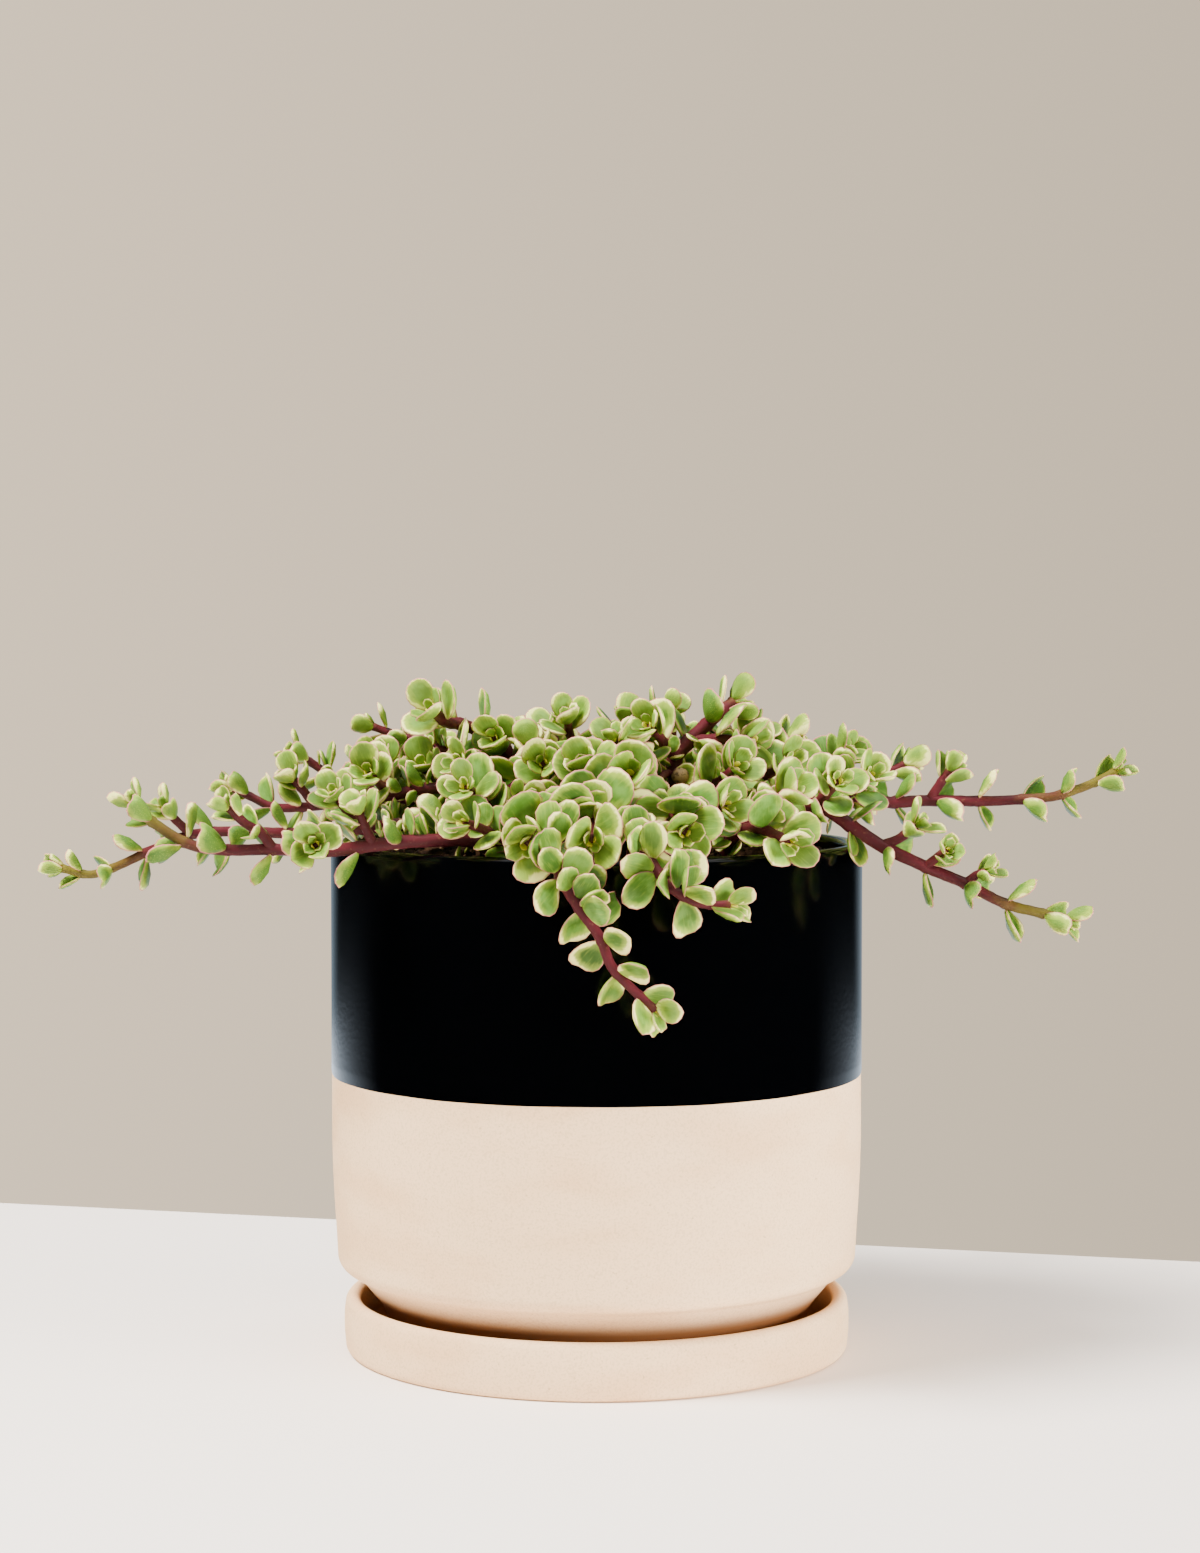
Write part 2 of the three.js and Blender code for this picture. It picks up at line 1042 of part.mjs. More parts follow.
// The saucer is a shallow dish with a thick, rounded wall.
function saucerGeometry() {
  const lip = SAUCER_WALL / 2;
  const inner = SAUCER_RADIUS - SAUCER_WALL;
  const profile = [
    [0, 0],
    ...arc(SAUCER_RADIUS - SAUCER_ROUND - SAUCER_TAPER, SAUCER_ROUND, SAUCER_ROUND, -90, 0, 2),
    ...arc(SAUCER_RADIUS - lip, SAUCER_TOP - lip, lip, 0, 180, LIP_STEPS),
    [inner, SAUCER_FLOOR + SAUCER_EDGE_ROUND],
    [inner - SAUCER_EDGE_ROUND, SAUCER_FLOOR],
    [0, SAUCER_FLOOR],
  ];
  return turned(profile, ROUND_SIDES);
}

// The soil fills the pot and stands in a low dome, with a plain hole for each stem.
function soilGeometry(holes) {
  const profile = [
    [0, POT_FLOOR + SOIL_GAP],
    ...SOIL_BODY,
    ...DOME_RINGS.map((r) => [r, soilHeight(r)]),
    [0, SOIL_CENTRE],
  ];
  return geometryOf(solidOf(turned(profile, SOIL_SIDES)).subtract(wasm.Manifold.union(holes)));
}

// A closed tube through rings of points about the given centres.
function tube(rings) {
  const sides = STEM_SIDES;
  const positions = [];
  const faces = [];
  rings.forEach(({ centre, across, over, radius }, i) => {
    for (let j = 0; j < sides; j += 1) {
      const angle = (2 * Math.PI * j) / sides;
      const point = centre
        .clone()
        .addScaledVector(across, radius * Math.cos(angle))
        .addScaledVector(over, radius * Math.sin(angle));
      positions.push(point.x, point.y, point.z);
      if (i === 0) continue;
      const a = (i - 1) * sides + j;
      const b = (i - 1) * sides + ((j + 1) % sides);
      faces.push(a, b, b + sides, a, b + sides, a + sides);
    }
  });
  const last = (rings.length - 1) * sides;
  for (let j = 1; j < sides - 1; j += 1) {
    faces.push(0, j + 1, j, last, last + j, last + j + 1);
  }
  const geometry = new THREE.BufferGeometry();
  geometry.setAttribute("position", new THREE.Float32BufferAttribute(positions, 3));
  geometry.setIndex(faces);
  return geometry;
}

// How far along its route each point of a stem stands.
function distancesOf(points) {
  const distances = [0];
  for (let i = 1; i < points.length; i += 1) {
    distances.push(distances[i - 1] + points[i].distanceTo(points[i - 1]));
  }
  return distances;
}

// A stem is a chain of straight stretches through the points of its route, each a little thinner.
function axisOf(node, points, thick, leaves) {
  const distances = distancesOf(points);
  const length = distances[distances.length - 1];
  const radii = distances.map((distance) => THREE.MathUtils.lerp(thick[0], thick[1], distance / length));
  return { node, points, thick, leaves, distances, length, radii };
}

// The main axis of a stem and its side shoots.
function axesOf(node, stem) {
  const points = stem.route.map((p) => new THREE.Vector3(...p));
  const shoots = stem.shoots.map((shoot) => {
    const route = [points[shoot.from], ...shoot.route.map((p) => new THREE.Vector3(...p))];
    return axisOf(node, route, shoot.thick, shoot.leaves);
  });
  return [axisOf(node, points, stem.thick, stem.leaves), ...shoots];
}

// The directions up and sideways, as nearly as they can be, across a stem that runs along the one given.
function frameOf(along) {
  const steep = Math.abs(along.z) > UP_LIMIT;
  const up = steep ? new THREE.Vector3(0, -1, 0) : new THREE.Vector3(0, 0, 1);
  up.addScaledVector(along, -up.dot(along)).normalize();
  return { up, side: new THREE.Vector3().crossVectors(along, up) };
}

// The direction across a stem at an angle from up towards the side.
function outward({ up, side }, angle) {
  const out = up.clone().multiplyScalar(Math.cos(radians(angle)));
  return out.addScaledVector(side, Math.sin(radians(angle)));
}

// A ring across the stem at each point of its route, turned so that leaves stand on flat faces. Of the
// turns that do so, each ring takes the one nearest to the ring before, so that the stem isn't twisted.
function stemRings({ points, radii, leaves }) {
  const corner = (leaves ? leaves.turn : 0) + 180 / STEM_SIDES;
  let last = null;
  return points.map((centre, i) => {
    const before = points[Math.max(0, i - 1)];
    const after = points[Math.min(points.length - 1, i + 1)];
    const along = after.clone().sub(before).normalize();
    const frame = frameOf(along);
    const turns = Array.from({ length: STEM_SIDES }, (unused, j) =>
      outward(frame, corner + (360 * j) / STEM_SIDES),
    );
    const nearest = (best, next) => (next.dot(last) > best.dot(last) ? next : best);
    const across = last ? turns.reduce(nearest) : turns[0];
    last = across;
    return { centre, along, across, over: new THREE.Vector3().crossVectors(along, across), radius: radii[i] };
  });
}

// The hole for a stem follows it from just below its end to well above the soil.
function holeSolid(rings) {
  const out = rings.findIndex(
    ({ centre, radius }) => centre.z > soilHeight(Math.hypot(centre.x, centre.y)) + radius + HOLE_RISE,
  );
  const wide = rings.slice(0, out + 1).map((ring) => ({ ...ring, radius: ring.radius + HOLE_GAP * HOLE_CORNER }));
  wide[0] = { ...wide[0], centre: wide[0].centre.clone().addScaledVector(wide[0].along, -HOLE_GAP) };
  return solidOf(tube(wide));
}

// A blade's corners about its root, on the leaf's own width, length and face.
function leafShape(length, width) {
  const thickness = LEAF_THICKNESS * length;
  const corners = LEAF_OUTLINE.map(([x, y]) => new THREE.Vector3(x * width, y * length, 0));
  return [...corners, new THREE.Vector3(0, LEAF_CROWN * length, -thickness)];
}

// The faces of a blade: its flat face, and each edge of the outline to the crown of its back.
const CROWN = LEAF_OUTLINE.length;
const LEAF_FACES = [...LEAF_FACE, ...LEAF_OUTLINE.map((unused, i) => [CROWN, (i + 1) % CROWN, i])];

// A leaf stands on the axis at a distance along it. It leans towards the tip, and its face looks there too.
function leafAt(axis, distance, turn, lean, roll, length, width) {
  const i = Math.max(1, axis.distances.findIndex((d) => d >= distance));
  const along = axis.points[i].clone().sub(axis.points[i - 1]).normalize();
  const root = axis.points[i - 1].clone().addScaledVector(along, distance - axis.distances[i - 1]);
  const out = outward(frameOf(along), turn);
  const c = Math.cos(radians(lean));
  const s = Math.sin(radians(lean));
  const reach = along.clone().multiplyScalar(c).addScaledVector(out, s);
  const face = along.clone().multiplyScalar(s).addScaledVector(out, -c);
  if (axis.leaves.light) {
    const light = new THREE.Vector3(...axis.leaves.light);
    light.addScaledVector(reach, -light.dot(reach));
    face.multiplyScalar(1 - LIGHT_PULL).addScaledVector(light, LIGHT_PULL).normalize();
  }
  const across = new THREE.Vector3().crossVectors(reach, face);
  const cr = Math.cos(radians(roll));
  const sr = Math.sin(radians(roll));
  const wide = across.clone().multiplyScalar(cr).addScaledVector(face, sr);
  const look = face.clone().multiplyScalar(cr).addScaledVector(across, -sr);
  root.addScaledVector(out, ROOT_DEPTH * axis.radii[i]);
  const corners = leafShape(length, width).map((p) =>
    root.clone().addScaledVector(wide, p.x).addScaledVector(reach, p.y).addScaledVector(look, p.z),
  );
  const axes = LEAF_FACES.map(([a, b, d]) => {
    const first = corners[b].clone().sub(corners[a]);
    return first.cross(corners[d].clone().sub(corners[a])).normalize();
  });
  LEAF_OUTLINE.forEach((unused, i) => {
    const edge = corners[(i + 1) % LEAF_OUTLINE.length].clone().sub(corners[i]);
    axes.push(edge.cross(look).normalize());
  });
  axes.push(look);
  return {
    node: axis.node,
    root,
    corners,
    axes,
    frame: [wide, reach, look],
    centre: root.clone().addScaledVector(reach, length / 2),
    reach: length * LEAF_HALF_SPAN,
    radius: 0,
  };
}

// A stretch of stem as an obstacle: two points with the stem's radius about them.
function stretchOf(axis, i) {
  const start = axis.points[i];
  const end = axis.points[i + 1];
  const radius = axis.radii[i];
  return {
    node: axis.node,
    corners: [start, end],
    axes: [],
    frame: [end.clone().sub(start).normalize()],
    centre: start.clone().add(end).multiplyScalar(0.5),
    reach: start.distanceTo(end) / 2 + radius,
    radius,
  };
}

// Whether some direction keeps two convex bodies apart by the given room.
function apart(a, b, room) {
  const between = b.centre.clone().sub(a.centre);
  const crosses = a.frame.flatMap((p) => b.frame.map((q) => new THREE.Vector3().crossVectors(p, q)));
  return [between, ...a.axes, ...b.axes, ...crosses].some((axis) => {
    const size = axis.length();
    if (size < SHORTEST) return false;
    const spanA = a.corners.map((p) => p.dot(axis) / size);
    const spanB = b.corners.map((p) => p.dot(axis) / size);
    const gap = Math.max(Math.min(...spanB) - Math.max(...spanA), Math.min(...spanA) - Math.max(...spanB));
    return gap - a.radius - b.radius >= room;
  });
}

// Whether a leaf is clear of the pot's wall and rim and of the soil.
function clearOfPot(leaf) {
  const azimuth = Math.atan2(leaf.centre.y, leaf.centre.x);
  const outside = leaf.corners.every(
    (p) => p.x * Math.cos(azimuth) + p.y * Math.sin(azimuth) > POT_RADIUS + CLEAR_POT,
  );
  const above = leaf.corners.every((p) => p.z > POT_TOP + CLEAR_POT);
  const inner = POT_RADIUS - POT_WALL - CLEAR_POT;
  const inside = leaf.corners.every((p) => Math.hypot(p.x, p.y) < inner);
  const dry = leaf.corners.every((p) => {
    const r = Math.hypot(p.x, p.y);
    return r > POT_RADIUS || p.z > soilHeight(r) + CLEAR_POT;
  });
  return outside || ((above || inside) && dry);
}

// A leaf's distance from the nearest point of an obstacle's first line.
function rootDistance(leaf, obstacle) {
  if (obstacle.root) return leaf.root.distanceTo(obstacle.root);
  const line = new THREE.Line3(...obstacle.corners);
  return line.closestPointToPoint(leaf.root, true, new THREE.Vector3()).distanceTo(leaf.root);
}

function isClear(leaf, obstacles) {
  if (!clearOfPot(leaf)) return false;
  return obstacles.every((obstacle) => {
    const own = obstacle.node === leaf.node;
    const room = own ? CLEAR_OWN : CLEAR_OTHER;
    if (leaf.centre.distanceTo(obstacle.centre) > leaf.reach + obstacle.reach + room) return true;
    if (own && rootDistance(leaf, obstacle) < NEAR_ROOT) return true;
    return apart(leaf, obstacle, room);
  });
}

// How far back from the tip each pair of leaves stands.
function pairPlaces(axis) {
  const { gap, bare } = axis.leaves;
  const last = TIP_GAPS.length - 1;
  const places = [];
  for (let i = 0; i < MOST_PAIRS; i += 1) {
    const back = gap * (i < last ? TIP_GAPS[i] : TIP_GAPS[last] + i - last);
    if (axis.length - back < bare) break;
    places.push(back);
  }
  return places;
}

// The leaves of an axis, in opposite pairs that each stand across the pair before.
function leavesOf(axis, obstacles) {
  const { gap, size, broad, turn } = axis.leaves;
  const grown = TIP_GAPS[TIP_GAPS.length - 1] * gap;
  const placed = [];
  pairPlaces(axis).forEach((back, i) => {
    const age = Math.min(1, back / grown);
    const pairTurn = turn + 90 * i + spread(TURN_SPREAD);
    for (const half of [0, 180]) {
      const lean = THREE.MathUtils.lerp(TIP_LEAN, LEAF_LEAN, age) + spread(LEAN_SPREAD);
      const roll = spread(ROLL_SPREAD);
      const length =
        size * THREE.MathUtils.lerp(TIP_SIZE, 1, age) * (1 + spread(LENGTH_SPREAD)) + axis.thick[1];
      const width = length * (broad + spread(BREADTH_SPREAD));
      const distance = axis.length - back - (i === 0 ? TIP_INSET : 0);
      for (const [leanBy, turnBy, scale] of TRIES) {
        const leaf = leafAt(
          axis,
          distance,
          pairTurn + half + turnBy,
          lean + leanBy,
          roll,
          length * scale,
          width * scale,
        );
        if (!isClear(leaf, obstacles)) continue;
        obstacles.push(leaf);
        placed.push(leaf);
        break;
      }
    }
  });
  return placed;
}

function leafSolid(leaf) {
  const geometry = new THREE.BufferGeometry();
  const positions = leaf.corners.flatMap((p) => [p.x, p.y, p.z]);
  geometry.setAttribute("position", new THREE.Float32BufferAttribute(positions, 3));
  geometry.setIndex(LEAF_FACES.flat());
  return solidOf(geometry);
}

function meshOf(name, geometry, color, roughness) {
  const material = new THREE.MeshStandardMaterial({ color, roughness, metalness: 0, flatShading: true });
  const mesh = new THREE.Mesh(geometry, material);
  mesh.name = name;
  return mesh;
}

// All stems stand before the first leaf is placed, so that leaves keep clear of stems too.
const stems = Object.entries(STEMS).map(([name, stem]) => ({ name, axes: axesOf(name, stem) }));
const sightPoints = SIGHT_LINE.map((p) => new THREE.Vector3(...p));
const sight = axisOf("sight", sightPoints, [SIGHT_RADIUS, SIGHT_RADIUS], null);
const obstacles = [];
for (const axis of [...stems.flatMap(({ axes }) => axes), sight]) {
  for (let i = 0; i < axis.points.length - 1; i += 1) obstacles.push(stretchOf(axis, i));
}

const plant = new THREE.Group();
const holes = [];
for (const { name, axes } of stems) {
  const pieces = axes.flatMap((axis) => {
    const leaves = axis.leaves ? leavesOf(axis, obstacles) : [];
    return [solidOf(tube(stemRings(axis))), ...leaves.map(leafSolid)];
  });
  holes.push(holeSolid(stemRings(axes[0])));
  plant.add(meshOf("stem_" + name, geometryOf(wasm.Manifold.union(pieces)), LEAF_GREEN, 0.45));
}

const part = new THREE.Group();
part.add(meshOf("saucer", saucerGeometry(), CLAY, 0.85));
part.add(meshOf("pot", potGeometry(), GLAZE_BLACK, 0.12));
part.add(meshOf("soil", soilGeometry(holes), SOIL_BROWN, 0.95));
part.add(plant);

export default part;
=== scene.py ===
"""A variegated elephant bush in a glazed pot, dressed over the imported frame.

Stems and leaves follow the same routes and the same seeded rule as the solids of the frame, so every
fine leaf lies where a plain blade lies there. Lengths are in millimetres up to the meshes, which are in
metres. +Z is up, -Y is the front, and the origin is on the pot's axis under the saucer.
"""

import logging
import math
from dataclasses import dataclass, field, replace
from enum import Enum
from typing import Callable

import bmesh
import bpy
import numpy as np
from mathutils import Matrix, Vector

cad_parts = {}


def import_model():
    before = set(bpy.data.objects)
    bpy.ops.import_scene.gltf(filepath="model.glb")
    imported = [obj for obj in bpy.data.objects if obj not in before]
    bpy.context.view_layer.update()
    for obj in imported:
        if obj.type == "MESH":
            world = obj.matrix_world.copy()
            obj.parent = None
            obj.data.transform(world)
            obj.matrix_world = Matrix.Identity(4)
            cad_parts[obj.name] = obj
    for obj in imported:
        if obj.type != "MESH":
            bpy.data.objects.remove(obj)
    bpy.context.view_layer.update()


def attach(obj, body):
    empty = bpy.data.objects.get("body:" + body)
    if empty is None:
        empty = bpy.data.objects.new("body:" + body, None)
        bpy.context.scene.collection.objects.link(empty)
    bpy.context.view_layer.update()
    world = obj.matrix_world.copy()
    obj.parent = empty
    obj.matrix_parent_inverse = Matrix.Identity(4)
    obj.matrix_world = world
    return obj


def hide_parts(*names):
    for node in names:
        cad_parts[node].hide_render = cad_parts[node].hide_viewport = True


logging.basicConfig(level=logging.INFO, format="%(message)s")
log = logging.getLogger("scene")

Point = tuple[float, float, float]
Pair = tuple[float, float]
Points = tuple[Point, ...]
Pairs = tuple[Pair, ...]
Colour = tuple[float, float, float]
Socket = bpy.types.NodeSocket
Material = bpy.types.Material
Piece = bpy.types.Object
Array = np.ndarray
Random = np.random.Generator
# From where to where a smooth step rises, and how high where that isn't 1
Band = tuple[float, ...]
# The scale of a noise, and its detail where that isn't 3
Grain = tuple[float, ...]

MM = 0.001
BODY = "root"
SEED = 20731
FULL_TURN = 2 * math.pi
ROUND_SIDES = 160
STEM_SIDES = 12
SAME_POINT = 1e-6
SAME_WAY = 1e-6

# The rule that places the leaves, as in the solids: where a leaf stands and how it is turned
UP_LIMIT = 0.85
ROOT_DEPTH = 0.5
OUTLINE = np.array([(0, 0), (0.48, 0.5), (0.32, 0.95), (-0.32, 0.95), (-0.48, 0.5)])
FLAT_FACES = ((0, 1, 4), (1, 2, 4), (2, 3, 4))
BLADE_REACH = 0.56
CROWN_PLACE = 0.62
CROWN_DEPTH = 0.17
LEAF_LEAN = 64.0
TIP_LEAN = 36.0
TIP_SIZE = 0.72
TIP_GAPS = (0, 0.55, 1.4)
TIP_BACK = 0.6
YOUNG_GAPS = 1.4
MOST_PAIRS = 40
PAIR_TURN = 90
OPPOSITE = (0, 180)
LIGHT_PULL = 0.6
FRONT_LIGHT = (0, -0.9, 0.44)
OLDEST_BUD = 0.6

# How far chance moves a leaf from the rule either way: its angles, size and width over length
TURN_CHANCE = 10
LEAN_CHANCE = 9
ROLL_CHANCE = 14
SIZE_CHANCE = 0.1
BROAD_CHANCE = 0.05

# How far leaves keep from others, from their own stem's and from the pot
CLEAR_OTHER = 0.4
CLEAR_OWN = 0.15
CLEAR_POT = 0.5
NEAR_ROOT = 3.0
# Leaves keep off this line, so that the cut end of the trunk's removed branch shows from the front
SIGHT_LINE = ((25.5, -28, 179.1), (24, -85.4, 181.6))
SIGHT_RADIUS = 3.2
# What is tried in turn to fit a leaf in: change of lean, change of turn, scale
TRIES = (
    (0, 0, 1), (12, 0, 1), (-14, 0, 1), (0, 20, 1), (0, -20, 1),
    (14, 24, 0.92), (14, -24, 0.92), (-20, 15, 0.85), (-20, -15, 0.85), (0, 40, 0.8),
    (0, -40, 0.8), (20, 0, 0.68), (-30, 0, 0.68),
)

# Stems whose upper part is covered by leaves that turn back up, and from where to where along them
COVERED = {"front_cascade": (24.0, 64.0), "front_second": (24.0, 55.0)}


@dataclass(frozen=True)
class Leaves:
    """The leaves of one axis.

    Attributes:
        gap: Length of bare stem between pairs.
        bare: How far from the root the lowest pair may stand.
        size: Length of a blade.
        broad: Width of a blade over its length.
        turn: Angle of the end pair about the stem, in degrees.
        light: Direction that the faces turn to, where they do.
    """

    gap: float
    bare: float
    size: float
    broad: float
    turn: float
    light: Point | None = None


@dataclass(frozen=True)
class Shoot:
    """A side shoot: the point of the main route it leaves, half-thickness, route and leaves."""

    start: int
    thick: Pair
    route: Points
    leaves: Leaves | None


@dataclass(frozen=True)
class Stem:
    """A leafy stem: half-thickness at root and tip, route from the soil, leaves and side shoots."""

    thick: Pair
    route: Points
    leaves: Leaves
    shoots: tuple[Shoot, ...]


